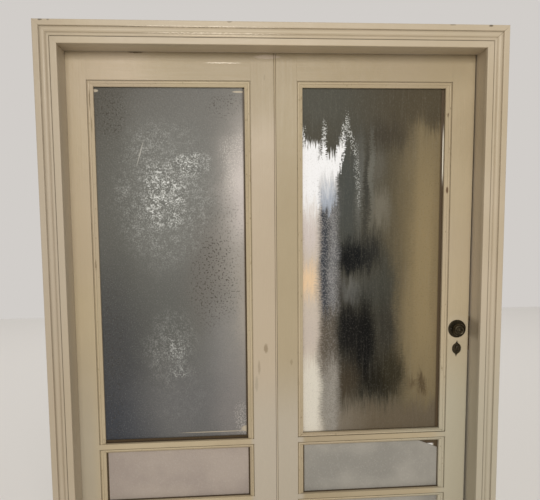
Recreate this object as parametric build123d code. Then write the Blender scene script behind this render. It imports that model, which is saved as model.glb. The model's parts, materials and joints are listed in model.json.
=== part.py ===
from build123d import *
import math
import os

# A pair of painted, glazed interior doors that fold away from the viewer, in their moulded
# frame, without the wall. Millimetres: x to the right, y away from the viewer, z up. The origin
# is on the floor, in the middle of the whole width and depth.

# Frame
opening_w = 1500.0        # clear width between the inner edges of the front casing
opening_h = 2100.0        # floor to the inner edge of the head casing
wall_t = 137.0            # wall thickness, which is also the depth of the linings
lining_t = 29.0
stop_t = 11.0             # boards planted on the linings, which the leaves close against
step_left = 3.0           # how far the casing's edge stands inside the left stop's face
step_right = 9.0          # and inside the right lining's face
back_step = 9.0           # the back casing stands back from the linings by this
hinge_gap = 3.0           # lining to leaf at the hinges
head_gap = 3.0            # lining to leaf at the head
stop_gap = 1.0            # stop board to leaf
floor_gap = 8.0
meeting_gap = 0.8         # between the two leaves
lock_gap_top = 4.0        # the lock edge was planed out of true, so its gap widens downwards
lock_gap_foot = 10.5

# Casing section, from the opening's side outwards
fascia_w = 22.5           # flat next to the opening
fascia_t = 19.0
deep_groove_w = 2.0
deep_groove_d = 6.0
bead_band_w = 10.0        # half-round band
bead_band_t = 21.0
groove_w = 1.5
groove_d = 3.0
hollow_band_w = 20.0      # wider cushioned band
hollow_band_t = 21.5
outer_band_w = 20.5
casing_t = 22.0
casing_round = 3.0
casing_bevel = 1.0        # on the outer edge
relief_d = 2.0            # shallow hollow in the casing's back, over the lining's outer edge
relief_over = 6.0         # how far it reaches beyond that edge on both sides

# Leaves
leaf_t = 40.0
stile_w = 79.0            # hinge stile
free_stile_w = 85.4       # meeting stile of the left leaf, without its bead
right_stile_w = 77.6      # meeting stile of the right leaf
meeting_bead_w = 7.2      # bead worked on the meeting edge of the left leaf
meeting_quirk = 1.2
lock_stile_w = 86.0       # at the top
top_rail_h = 107.5
bottom_rail_h = 167.5
bar_h = 20.0
panel_h = 212.5
rebate_d = 26.0           # depth of the rebates for the panes, from the front
lip_w = 36.0              # lip behind each pane
tenon_t = 12.0
tenon_l = 40.0
tenon_front = 7.0         # front shoulder
tenon_shoulder = 3.0      # shoulders above and below
glass_t = 4.0

# Beads that hold the panes, by width
bead_w = 22.0
slim_bead_w = 16.0
sill_bead_w = 11.0        # the bead under the right tall pane is narrower
bead_quirk = 2.5
bead_round_share = 0.42   # width of the rounded part, as a share of the bead's width
bead_quirk_d = 4.5        # depths below the leaf's face
bead_crest_d = 0.5
bead_inner_d = 10.0
bead_groove_w = 1.2
bead_clear = 0.2

# Room between each pane's edges and its opening: left, right, bottom, top
left_glass_room = (4.0, 28.0, 9.5, 4.0)
right_glass_room = (4.0, 34.0, 12.0, 4.0)
left_panel_room = (28.0, 22.0, 1.0, 4.0)
right_panel_room = (28.0, 25.0, 1.0, 4.0)
low_panel_room = (4.0, 4.0, 1.0, 4.0)
break_w = 84.0            # corner broken out of the right middle panel
break_h = 34.0
break_top = 18.0          # how far under the opening's top the break starts

# Hinges
hinge_h = 100.0
hinge_plate_w = 34.0
hinge_plate_t = 2.5
knuckle_r = 6.3
pin_r = 3.0
pin_clear = 0.08
pin_offset = 7.0          # pin axis behind the leaf's back face
pin_tip_r = 5.0
pin_tip_h = 4.0
knuckle_gap = 0.3
hinge_foot_in = 242.0     # middle of the lowest hinge above the leaf's foot
hinge_top_in = 258.0      # middle of the highest hinge below the leaf's top

# Lock
lock_in = 44.8            # knob and keyhole, measured in from the leaf's edge
knob_z = 1057.0
escutcheon_z = 978.0
case_depth = 62.0
case_t = 16.0
case_wall = 1.5
case_over_knob = 43.0
case_under_key = 44.0
case_clear = 0.3
faceplate_t = 2.5
faceplate_w = 22.0
faceplate_over = 20.0     # the faceplate is longer than the case at each end
spindle_s = 8.0
spindle_clear = 0.1
hub_r = 8.5
hub_clear = 0.1
bore_r = 10.0             # hole through the wood for the hub
arm_r = 18.0
arm_w = 4.0
arm_lean = 22.5           # the follower's arm leans back by this with the latch drawn back
layer_t = 3.0             # thickness of the flat pieces inside the case
latch_t = 12.0
latch_h = 16.0
latch_len = 24.0
latch_up = 17.0           # middle of the latch above the knob's axis
tail_low = 13.5           # the latch's tail, above the knob's axis
tail_top = 22.0
notch_top = 19.0
notch_w = 8.6
tail_end = 5.0            # what is left of the tail beyond the notch
dead_t = 9.0
dead_h = 24.0
dead_len = 24.0
dead_up = 17.0            # middle of the dead bolt above the keyhole's round
dead_tail_h = 18.0
dead_tail_len = 33.0
talon_w = 8.0
talon_h = 4.0
bolt_clear = 0.4
bolt_back = 0.3           # bolts stand this far inside the faceplate when withdrawn
strike_t = 2.0
strike_w = 30.0
strike_over = 22.0
socket_d = 18.0

# Knobs, roses and escutcheons
rose_r = 35.0
rose_rim_w = 4.0
rose_rim_t = 5.0
rose_bevel = 2.0          # on the rim and on the boss
rose_t = 3.0
boss_r = 15.0
boss_t = 7.0
neck_r = 9.0
neck_clear = 0.4
knob_r = 24.5
knob_back = 13.0          # leaf's face to the back of the knob's head
knob_wide = 21.0          # leaf's face to the knob's widest ring
knob_out = 34.0           # leaf's face to the knob's front
knob_lip = 3.0
knob_flare = (5.0, 3.0)   # middle of the flared back: in from the widest ring, out from the neck
knob_cheek = (0.6, 3.0)   # middle of the cheek: in from the widest ring, out from it
ring_inner_r = 11.75      # ring on the knob's front, inside the lip
ring_groove_w = 1.0       # groove between the lip and the ring
ring_groove_d = 2.0
ring_swell = 1.0          # the ring's crest in front of the lip
ring_foot = 1.0           # the ring's inner foot behind the lip
button_foot = 0.5         # the button's foot behind the lip
button_r = 5.0
button_h = 3.0
knob_socket = 18.0
socket_end = 1.0          # room between the spindle's end and the bottom of the socket
escutcheon_h = 65.0
escutcheon_w = 34.5
escutcheon_t = 2.5
escutcheon_lean = 3.0     # the front one hangs a little crooked
escutcheon_tip = (0.16, 0.76)     # points on the outline, as shares of half its width and height
escutcheon_neck = (0.36, 0.62)
escutcheon_belly = (0.86, 0.36)
key_r = 4.5
key_slot_w = 5.0
key_drop = 13.0
keyhole_clear = 1.0       # the hole in the wood is wider than the keyhole by this on each side

# Flush bolts in the back of the left leaf
rod_r = 5.0
rod_len = 150.0
rod_from_pane = 39.5      # rod's axis from the pane's edge
rod_in = 10.0             # rod's axis inside the leaf's back face
rod_clear = 0.4
rod_throw = 18.0
rod_back = 1.0            # rod's end inside the leaf's edge when withdrawn
plate_w = 28.0
plate_h = 150.0
plate_t = 2.0
plate_in = 60.0           # plate's end in from the leaf's end
plate_land = 10.0         # solid wood behind the plate's ends
plate_screw_x = 9.0       # the plate's screws stand beside the rod
slot_w = 7.0
thumb_neck = 6.0
thumb_out = 3.0
thumb_r = 7.0
thumb_t = 5.0
keeper_w = 20.0
keeper_l = 60.0
keeper_t = 2.0
keeper_clear = 1.0

# Screws
head_r = 3.6
shank_r = 1.8
head_t = 2.0
screw_len = 18.0
driver_w = 1.0
driver_d = 0.8
screw_clear = 0.1
hinge_screw_z = 32.0      # screws above and below a hinge's middle
small_screw = 0.55        # screws of the roses, against the others
tiny_screw = 0.34         # screws of the escutcheons, against the others
escutcheon_screw_z = 25.0

# Places worked out from the sizes above
casing_w = (fascia_w + deep_groove_w + bead_band_w + groove_w + hollow_band_w + groove_w
            + outer_band_w)
half = opening_w / 2
front_y = -(casing_t + wall_t + knob_out) / 2
wall_front = front_y + casing_t
wall_back = wall_front + wall_t
leaf_front = wall_back - leaf_t
leaf_mid = wall_back - leaf_t / 2
pane_back = leaf_front + rebate_d
pin_y = wall_back + pin_offset
stop_face = -half - step_left
left_face = stop_face - stop_t
right_face = half + step_right
head_face = opening_h + stop_t
back_half = -left_face + back_step
left_x = left_face + hinge_gap
lock_x_top = right_face - lock_gap_top
meeting_w = free_stile_w + meeting_bead_w + meeting_gap + right_stile_w
pane_w = (lock_x_top - left_x - stile_w - meeting_w - lock_stile_w) / 2
left_pane_x = left_x + stile_w
left_meeting_x = left_pane_x + pane_w
left_end = left_meeting_x + free_stile_w + meeting_bead_w
right_x = left_end + meeting_gap
right_pane_x = right_x + right_stile_w
lock_stile_x = right_pane_x + pane_w
leaf_top = head_face - head_gap
hinge_low = floor_gap + hinge_foot_in
hinge_high = leaf_top - hinge_top_in
hinge_heights = (hinge_low, (hinge_low + hinge_high) / 2, hinge_high)
low_panel_z = floor_gap + bottom_rail_h
lower_bar_z = low_panel_z + panel_h
middle_panel_z = lower_bar_z + bar_h
upper_bar_z = middle_panel_z + panel_h
glass_z = upper_bar_z + bar_h
top_rail_z = leaf_top - top_rail_h
key_z = escutcheon_z + key_drop / 2
case_low = key_z - case_under_key
case_top = knob_z + case_over_knob
faceplate_low = case_low - faceplate_over
faceplate_top = case_top + faceplate_over
latch_z = knob_z + latch_up
dead_z = key_z + dead_up
rod_x = left_meeting_x + rod_from_pane
rod_y = wall_back - rod_in


def lock_edge(z):
    """x of the planed lock edge at a height, on the line from its foot to its top."""
    share = (z - floor_gap) / (leaf_top - floor_gap)
    return right_face - lock_gap_foot + share * (lock_gap_foot - lock_gap_top)


faceplate_x = lock_edge(faceplate_low)
knob_x = faceplate_x - lock_in
case_x = faceplate_x - faceplate_t - case_depth

nodes = {}


def block(x0, x1, y0, y1, z0, z1):
    """A box between two corners."""
    return Pos((x0 + x1) / 2, (y0 + y1) / 2, (z0 + z1) / 2) * Box(x1 - x0, y1 - y0, z1 - z0)


def rod(p, q, r):
    """A round bar from p to q."""
    start = Vector(*p)
    run = Vector(*q) - start
    return extrude(Plane(origin=start, z_dir=run) * Circle(r), run.length)


def prism(points, y0, y1):
    """A polygon of (x, z) points carried from y0 to y1."""
    plane = Plane(origin=(0, y0, 0), x_dir=(1, 0, 0), z_dir=(0, -1, 0))
    return extrude(plane * Polygon(*points, align=None), y0 - y1)


def moulding(section, start, along, u_dir, v_dir, length):
    """A moulded stick: a section drawn in (u, v) and carried along a straight line."""
    plane = Plane(origin=start, x_dir=u_dir, z_dir=Vector(*u_dir).cross(Vector(*v_dir)))
    way = plane.z_dir.dot(Vector(*along))
    return extrude(plane * section, length * way)


def screw(place, clear=0.0, scale=1.0):
    """A countersunk screw: place is its head's middle and the way that its shank runs."""
    head = Pos(0, 0, head_t / 2) * Cone(head_r + clear, shank_r + clear, head_t)
    body = head + Pos(0, 0, screw_len / 2) * Cylinder(shank_r + clear, screw_len)
    if clear == 0:
        body -= Pos(0, 0, driver_d / 2) * Box(3 * head_r, driver_w, driver_d)
    if scale != 1:
        body = body.scale(scale)
    return Plane(origin=place[0], z_dir=place[1]) * body


def fasten(screw_node, places, held, scale=1.0):
    """Add screws to a node and cut their holes in the nodes that they go through."""
    for place in places:
        nodes.setdefault(screw_node, []).append(screw(place, scale=scale))
        hole = screw(place, screw_clear, scale)
        for name in held:
            shape = nodes[name]
            if isinstance(shape, list):
                nodes[name] = [piece - hole for piece in shape]
            else:
                nodes[name] = shape - hole


def rounded_step(x, low, top, r):
    """Edges that rise from low to top at x and turn over to the right with a small round."""
    return [
        Line((x, low), (x, top - r)),
        TangentArc((x, top - r), (x + r, top), tangent=(0, 1)),
    ]


def casing_section(relief):
    """Flat, half-round, cushioned band and outer band, parted by grooves.

    The back is hollowed by relief_d between the two places of relief.
    """
    near, far = relief
    x1 = fascia_w
    x2 = x1 + deep_groove_w
    x3 = x2 + bead_band_w
    x4 = x3 + groove_w
    x5 = x4 + hollow_band_w
    x6 = x5 + groove_w
    deep = fascia_t - deep_groove_d
    low = fascia_t - groove_d
    r = casing_round
    edges = rounded_step(0, 0, fascia_t, r)
    edges += [
        Line((r, fascia_t), (x1, fascia_t)),
        Line((x1, fascia_t), (x1, deep)),
        Line((x1, deep), (x2, deep)),
        ThreePointArc((x2, deep), ((x2 + x3) / 2, bead_band_t), (x3, low)),
        Line((x3, low), (x4, low)),
        ThreePointArc((x4, low), ((x4 + x5) / 2, hollow_band_t), (x5, low)),
        Line((x5, low), (x6, low)),
    ]
    edges += rounded_step(x6, low, casing_t, r)
    edges += [
        Line((x6 + r, casing_t), (casing_w - casing_bevel, casing_t)),
        Line((casing_w - casing_bevel, casing_t), (casing_w, casing_t - casing_bevel)),
        Line((casing_w, casing_t - casing_bevel), (casing_w, 0)),
        Line((casing_w, 0), (far, 0)),
        Line((far, 0), (far, relief_d)),
        Line((far, relief_d), (near, relief_d)),
        Line((near, relief_d), (near, 0)),
        Line((near, 0), (0, 0)),
    ]
    return make_face(Wire(edges))


def casing_set(name, inner_half, inner_z, wall_y, out):
    """Three mitred casings round an opening: out is -1 in front of the wall and 1 behind it."""
    lining_edges = (lining_t - left_face - inner_half, right_face + lining_t - inner_half,
                    head_face + lining_t - inner_z)
    section = casing_section((min(lining_edges) - relief_over, max(lining_edges) + relief_over))
    low_y, high_y = sorted((wall_y, wall_y + out * casing_t))
    x0, x1 = -inner_half, inner_half
    w = casing_w
    top = inner_z + w
    left_end_cut = [(x0, 0), (x0, inner_z), (x0 - w, top), (x0 - w, 0)]
    right_end_cut = [(x1, 0), (x1 + w, 0), (x1 + w, top), (x1, inner_z)]
    head_cut = [(x0, inner_z), (x1, inner_z), (x1 + w, top), (x0 - w, top)]
    v_dir = (0, out, 0)
    left = moulding(section, (x0, wall_y, 0), (0, 0, 1), (-1, 0, 0), v_dir, top)
    right = moulding(section, (x1, wall_y, 0), (0, 0, 1), (1, 0, 0), v_dir, top)
    head = moulding(section, (x0 - w, wall_y, inner_z), (1, 0, 0), (0, 0, 1), v_dir, x1 - x0 + 2 * w)
    nodes[f"{name}_casing_left"] = left & prism(left_end_cut, low_y, high_y)
    nodes[f"{name}_casing_right"] = right & prism(right_end_cut, low_y, high_y)
    nodes[f"{name}_casing_head"] = head & prism(head_cut, low_y, high_y)


def frame():
    """Linings, planted stops and the two sets of casings."""
    left_out = left_face - lining_t
    right_out = right_face + lining_t
    nodes["lining_left"] = block(left_out, left_face, wall_front, wall_back, 0, head_face)
    nodes["lining_right"] = block(right_face, right_out, wall_front, wall_back, 0, head_face)
    nodes["lining_head"] = block(left_out, right_out, wall_front, wall_back,
                                 head_face, head_face + lining_t)
    stop_y = leaf_front - stop_gap
    nodes["stop_left"] = block(left_face, stop_face, wall_front, stop_y, 0, opening_h)
    nodes["stop_head"] = block(left_face, right_face, wall_front, stop_y, opening_h, head_face)
    casing_set("front", half, opening_h, wall_front, -1)
    casing_set("back", back_half, head_face + back_step, wall_back, 1)


def stile(x0, x1, lip_side):
    """A stile over the leaf's whole height: lip_side says on which edge the pane's lip is."""
    lip_x = x1 if lip_side > 0 else x0 - lip_w
    body = block(x0, x1, leaf_front, wall_back, floor_gap, leaf_top)
    return body + block(lip_x, lip_x + lip_w, pane_back, wall_back, floor_gap, leaf_top)


def rail(side, part, x0, z0, z1, lip_above, lip_below):
    """A rail or bar between the stiles, with lips for the panes and a tenon at each end."""
    x1 = x0 + pane_w
    low = z0 - (lip_w if lip_below else 0)
    top = z1 + (lip_w if lip_above else 0)
    tenon_y = leaf_front + tenon_front
    body = block(x0, x1, leaf_front, pane_back, z0, z1)
    body += block(x0 + lip_w, x1 - lip_w, pane_back, wall_back, low, top)
    tenons = [block(a, b, tenon_y, tenon_y + tenon_t, z0 + tenon_shoulder, z1 - tenon_shoulder)
              for a, b in ((x0 - tenon_l, x0), (x1, x1 + tenon_l))]
    stiles = {"left": ("left_hinge_stile", "left_meeting_stile"),
              "right": ("right_meeting_stile", "right_lock_stile")}
    for tenon, name in zip(tenons, stiles[side]):
        body += tenon
        nodes[name] -= tenon
    nodes[f"{side}_{part}"] = body


def bead_section(w):
    """Bead section: u from the opening's edge inwards, v into the leaf."""
    back = rebate_d - glass_t - bead_clear
    c = bead_clear
    a = bead_quirk
    b = a + bead_round_share * w
    d = b + bead_groove_w
    edges = [
        Line((c, back), (c, bead_quirk_d)),
        Line((c, bead_quirk_d), (a, bead_quirk_d)),
        ThreePointArc((a, bead_quirk_d), ((a + b) / 2, bead_crest_d), (b, bead_quirk_d)),
        Line((b, bead_quirk_d), (d, bead_quirk_d)),
        Line((d, bead_quirk_d), (w, bead_inner_d)),
        Line((w, bead_inner_d), (w, back)),
        Line((w, back), (c, back)),
    ]
    return make_face(Wire(edges))


def beads(x0, z0, height, widths):
    """Mitred beads round an opening in a leaf: widths gives each side's width, 0 for a lost one."""
    c = bead_clear
    x1 = x0 + pane_w
    z1 = z0 + height
    y = leaf_front
    wl, wr, wb, wt = widths
    foot_l = (x0 + c, z0 + c)
    foot_r = (x1 - c, z0 + c)
    top_l = (x0 + c, z1 - c)
    top_r = (x1 - c, z1 - c)
    in_foot_l = (x0 + wl, z0 + (wb or c))
    in_foot_r = (x1 - wr, z0 + (wb or c))
    in_top_l = (x0 + wl, z1 - wt)
    in_top_r = (x1 - wr, z1 - wt)
    runs = (
        (wl, (x0, y, z0), (0, 0, 1), (1, 0, 0), height, [foot_l, in_foot_l, in_top_l, top_l]),
        (wr, (x1, y, z0), (0, 0, 1), (-1, 0, 0), height, [foot_r, top_r, in_top_r, in_foot_r]),
        (wb, (x0, y, z0), (1, 0, 0), (0, 0, 1), pane_w, [foot_l, foot_r, in_foot_r, in_foot_l]),
        (wt, (x0, y, z1), (1, 0, 0), (0, 0, -1), pane_w, [top_l, in_top_l, in_top_r, top_r]),
    )
    sticks = []
    for width, start, along, u_dir, length, outline in runs:
        if width:
            stick = moulding(bead_section(width), start, along, u_dir, (0, 1, 0), length)
            sticks.append(stick & prism(outline, y, pane_back))
    return sticks


def pane(x0, z0, height, room):
    """A flat pane or sheet against the lips: room is left, right, bottom and top."""
    return block(x0 + room[0], x0 + pane_w - room[1], pane_back - glass_t, pane_back,
                 z0 + room[2], z0 + height - room[3])


def meeting_bead(body):
    """Work the quirk and the round of the small bead along the left leaf's meeting edge."""
    x0 = left_end - meeting_bead_w
    r = (meeting_bead_w - meeting_quirk) / 2
    y1 = leaf_front + r
    low, top = floor_gap, leaf_top
    round_x = x0 + meeting_quirk + r
    body -= block(x0, left_end, leaf_front, y1, low, top)
    return body + (rod((round_x, y1, low), (round_x, y1, top), r)
                   & block(x0, left_end, leaf_front, y1, low, top))


def leaf_frame(side, x0):
    """Rails and bars of one leaf; its stiles are there already."""
    rail(side, "top_rail", x0, top_rail_z, leaf_top, False, True)
    rail(side, "upper_bar", x0, upper_bar_z, glass_z, True, True)
    rail(side, "lower_bar", x0, lower_bar_z, middle_panel_z, True, True)
    rail(side, "bottom_rail", x0, floor_gap, low_panel_z, True, False)


def leaf_panes(side, x0, glass_room, panel_room, glass_beads, panel_slim):
    """Glass, panels and beads of one leaf."""
    glass_h = top_rail_z - glass_z
    nodes[f"{side}_glass"] = pane(x0, glass_z, glass_h, glass_room)
    nodes[f"{side}_glass_beads"] = beads(x0, glass_z, glass_h, glass_beads)
    nodes[f"{side}_middle_panel"] = pane(x0, middle_panel_z, panel_h, panel_room)
    middle = (bead_w, panel_slim, 0, slim_bead_w)
    nodes[f"{side}_middle_beads"] = beads(x0, middle_panel_z, panel_h, middle)
    nodes[f"{side}_lower_panel"] = pane(x0, low_panel_z, panel_h, low_panel_room)
    lower = (bead_w, panel_slim, slim_bead_w, slim_bead_w)
    nodes[f"{side}_lower_beads"] = beads(x0, low_panel_z, panel_h, lower)


def leaves():
    """Both leaves, without their fittings."""
    nodes["left_hinge_stile"] = stile(left_x, left_pane_x, 1)
    nodes["left_meeting_stile"] = meeting_bead(stile(left_meeting_x, left_end, -1))
    nodes["right_meeting_stile"] = stile(right_x, right_pane_x, 1)
    lock_stile = stile(lock_stile_x, lock_x_top, -1)
    low_x = lock_edge(floor_gap)
    planed = prism([(low_x, floor_gap), (lock_x_top, floor_gap), (lock_x_top, leaf_top)],
                   leaf_front, wall_back)
    nodes["right_lock_stile"] = lock_stile - planed
    leaf_frame("left", left_pane_x)
    leaf_frame("right", right_pane_x)
    left_beads = (bead_w, bead_w, 0, bead_w)
    right_beads = (bead_w, bead_w, sill_bead_w, bead_w)
    leaf_panes("left", left_pane_x, left_glass_room, left_panel_room, left_beads, slim_bead_w)
    leaf_panes("right", right_pane_x, right_glass_room, right_panel_room, right_beads, bead_w)
    x1 = lock_stile_x - right_panel_room[1]
    z1 = upper_bar_z
    corner = [(x1 - break_w, z1), (x1 - break_w, z1 - break_top), (x1, z1 - break_top - break_h),
              (x1, z1)]
    nodes["right_middle_panel"] -= prism(corner, pane_back - glass_t, pane_back)


def hinge_half(axis_x, side, z, own):
    """One plate of a butt hinge with its knuckles: side is -1 left of the pin and 1 right."""
    gap = hinge_gap_at(axis_x) / 2
    inner = axis_x + side * gap
    x0, x1 = sorted((inner, inner + side * hinge_plate_t))
    low = z - hinge_h / 2
    plate = block(x0, x1, wall_back - hinge_plate_w, wall_back, low, low + hinge_h)
    for a, b in own:
        plate += block(x0, x1, wall_back, pin_y, low + a, low + b)
        plate += rod((axis_x, pin_y, low + a), (axis_x, pin_y, low + b), knuckle_r)
    return plate - rod((axis_x, pin_y, low), (axis_x, pin_y, low + hinge_h), pin_r + pin_clear)


def hinge_gap_at(axis_x):
    """The gap that a hinge's pin stands in: at the jamb or between the leaves."""
    return hinge_gap if axis_x < left_x else meeting_gap


def hinge_pin(axis_x, z):
    """A hinge pin with a chamfered tip at each end."""
    low = z - hinge_h / 2
    high = low + hinge_h
    pin = rod((axis_x, pin_y, low), (axis_x, pin_y, high), pin_r)
    tip = Pos(0, 0, pin_tip_h / 2) * Cone(pin_tip_r, pin_tip_r / 2, pin_tip_h)
    return pin + Pos(axis_x, pin_y, high) * tip + Pos(axis_x, pin_y, low) * Rot(180, 0, 0) * tip


def hinge_line(axis_x, parent, child):
    """Three hinges on one axis: parent and child name each side's plates, wood and screws."""
    third = hinge_h / 3
    ends = ((0, third - knuckle_gap), (2 * third + knuckle_gap, hinge_h))
    middle = ((third, 2 * third),)
    gap = hinge_gap_at(axis_x) / 2
    screw_y = wall_back - hinge_plate_w / 2
    for z in hinge_heights:
        low = z - hinge_h / 2
        nodes.setdefault("hinge_pins", []).append(hinge_pin(axis_x, z))
        for side, own, (plates, wood, screws) in ((-1, ends, parent), (1, middle, child)):
            inner = axis_x + side * gap
            x0, x1 = sorted((inner, inner + side * hinge_plate_t))
            nodes[wood] -= block(x0, x1, wall_back - hinge_plate_w, wall_back, low, low + hinge_h)
            places = [((inner, screw_y, z + dz), (side, 0, 0))
                      for dz in (-hinge_screw_z, hinge_screw_z)]
            plate = hinge_half(axis_x, side, z, own)
            for place in places:
                plate -= screw(place, screw_clear)
            nodes.setdefault(plates, []).append(plate)
            fasten(screws, places, [wood])


def hinges():
    """Jamb hinges carry the left leaf, meeting hinges carry the right leaf on the left one."""
    hinge_line(left_face + hinge_gap / 2,
               ("jamb_hinge_plates", "lining_left", "frame_screws"),
               ("left_leaf_hinge_plates", "left_hinge_stile", "left_leaf_screws"))
    hinge_line(left_end + meeting_gap / 2,
               ("left_leaf_hinge_plates", "left_meeting_stile", "left_leaf_screws"),
               ("right_leaf_hinge_plates", "right_meeting_stile", "right_leaf_screws"))


def keyhole(y0, y1, clear=0.0):
    """A keyhole from y0 to y1: a round with a slot below it."""
    slot = key_slot_w / 2 + clear
    cut = rod((knob_x, y0, key_z), (knob_x, y1, key_z), key_r + clear)
    return cut + block(knob_x - slot, knob_x + slot, y0, y1, key_z - key_drop - clear, key_z)


def escutcheon():
    """Lemon-shaped plate with drawn-out points, lying in x-z with its back at y = 0."""
    h = escutcheon_h / 2
    w = escutcheon_w / 2
    shares = (escutcheon_tip, escutcheon_neck, escutcheon_belly)
    edges = []
    for sx, sz in ((1, 1), (1, -1), (-1, -1), (-1, 1)):
        tip, neck, belly = [(sx * w * a, sz * h * b) for a, b in shares]
        edges += [ThreePointArc((0, sz * h), tip, neck), ThreePointArc(neck, belly, (sx * w, 0))]
    face = make_face(edges)
    plane = Plane(origin=(0, 0, 0), x_dir=(1, 0, 0), z_dir=(0, -1, 0))
    return extrude(plane * face, escutcheon_t)


def rose():
    """Round rose that stands out along -y from y = 0: raised rim, sunk ring and boss."""
    r = neck_r + neck_clear
    inner = rose_r - rose_rim_w
    points = [(r, 0), (rose_r, 0), (rose_r, rose_bevel - rose_rim_t),
              (rose_r - rose_bevel, -rose_rim_t), (inner, -rose_rim_t), (inner, -rose_t),
              (boss_r, -rose_t), (boss_r - rose_bevel, -boss_t), (r, -boss_t)]
    return revolve(make_face(Polyline(*points, close=True)), Axis.Y)


def knob():
    """Turned knob that stands out along -y: neck, flared back, wide ring, ringed front, button."""
    face_y = button_h - knob_out
    lip_r = knob_r - knob_lip
    dome_h = button_h + button_foot
    dome_r = (button_r ** 2 + dome_h ** 2) / (2 * dome_h)
    turn = math.asin(button_r / dome_r) / 2
    half_way = (dome_r * math.sin(turn), dome_r * (1 - math.cos(turn)) - knob_out)
    neck_foot = (neck_r, -boss_t / 2)
    neck_end = (neck_r, -knob_back)
    flare = (knob_r - knob_flare[0], -knob_back - knob_flare[1])
    wide = (knob_r, -knob_wide)
    cheek = (knob_r - knob_cheek[0], -knob_wide - knob_cheek[1])
    lip = (lip_r, face_y)
    groove = (lip_r - ring_groove_w, face_y + ring_groove_d)
    crest = ((lip_r + ring_inner_r) / 2, face_y - ring_swell)
    ring_end = (ring_inner_r, face_y + ring_foot)
    button_edge = (button_r, face_y + button_foot)
    edges = [
        Line((0, -boss_t / 2), neck_foot),
        Line(neck_foot, neck_end),
        ThreePointArc(neck_end, flare, wide),
        ThreePointArc(wide, cheek, lip),
        Line(lip, groove),
        ThreePointArc(groove, crest, ring_end),
        Line(ring_end, button_edge),
        ThreePointArc(button_edge, half_way, (0, -knob_out)),
        Line((0, -knob_out), (0, -boss_t / 2)),
    ]
    body = revolve(make_face(Wire(edges)), Axis.Y)
    hole = spindle_s + 2 * spindle_clear
    depth = boss_t / 2 + knob_socket
    return body - Pos(0, -depth / 2, 0) * Box(hole, depth, hole)


def on_faces(name, shape, z, lean=0.0):
    """A shape at the lock's line on the leaf's front face, and its twin on the back face."""
    nodes[f"front_{name}"] = Pos(knob_x, leaf_front, z) * Rot(0, lean, 0) * shape
    nodes[f"back_{name}"] = Pos(knob_x, wall_back, z) * Rot(0, 0, 180) * shape


def follower():
    """Hub on the spindle, carried in the case, with the arm that moves the latch."""
    hub = rod((knob_x, leaf_mid - case_t / 2, knob_z), (knob_x, leaf_mid + case_t / 2, knob_z), hub_r)
    arm = Pos(0, 0, arm_r / 2) * Box(arm_w, layer_t, arm_r)
    hub += Pos(knob_x, leaf_mid, knob_z) * Rot(0, -arm_lean, 0) * arm
    s = spindle_s / 2 + spindle_clear
    return hub - block(knob_x - s, knob_x + s, leaf_front, wall_back, knob_z - s, knob_z + s)


def latch_bolt():
    """Latch: a bevelled head and a flat tail whose notch the follower's arm stands in."""
    end = faceplate_x - bolt_back
    y0, y1 = leaf_mid - latch_t / 2, leaf_mid + latch_t / 2
    head = block(end - latch_len, end, y0, y1, latch_z - latch_h / 2, latch_z + latch_h / 2)
    bevel = Polygon((end, leaf_mid), (end - latch_t / 2, y0), (end, y0), align=None)
    head -= extrude(Plane(origin=(0, 0, latch_z - latch_h / 2)) * bevel, latch_h)
    notch_x = knob_x - arm_r * math.sin(math.radians(arm_lean))
    tail = block(notch_x - notch_w / 2 - tail_end, end - latch_len, leaf_mid - layer_t / 2,
                 leaf_mid + layer_t / 2, knob_z + tail_low, knob_z + tail_top)
    tail -= block(notch_x - notch_w / 2, notch_x + notch_w / 2, leaf_mid - layer_t,
                  leaf_mid + layer_t, knob_z + tail_low, knob_z + notch_top)
    return head + tail


def dead_bolt():
    """Dead bolt: a square head and a flat tail with the notch that the key turns in."""
    end = faceplate_x - bolt_back
    tail_x = end - dead_len - dead_tail_len
    low = dead_z - dead_tail_h / 2
    head = block(end - dead_len, end, leaf_mid - dead_t / 2, leaf_mid + dead_t / 2,
                 dead_z - dead_h / 2, dead_z + dead_h / 2)
    tail = block(tail_x, end - dead_len, leaf_mid - layer_t / 2, leaf_mid + layer_t / 2,
                 low, low + dead_tail_h)
    talon = block(knob_x - talon_w / 2, knob_x + talon_w / 2, leaf_mid - layer_t,
                  leaf_mid + layer_t, low, low + talon_h)
    return head + tail - talon


def bolt_way(x0, x1, t, h, z):
    """The clear way of one of the lock's bolts from x0 to x1."""
    c = bolt_clear
    return block(x0, x1, leaf_mid - t / 2 - c, leaf_mid + t / 2 + c, z - h / 2 - c, z + h / 2 + c)


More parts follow.
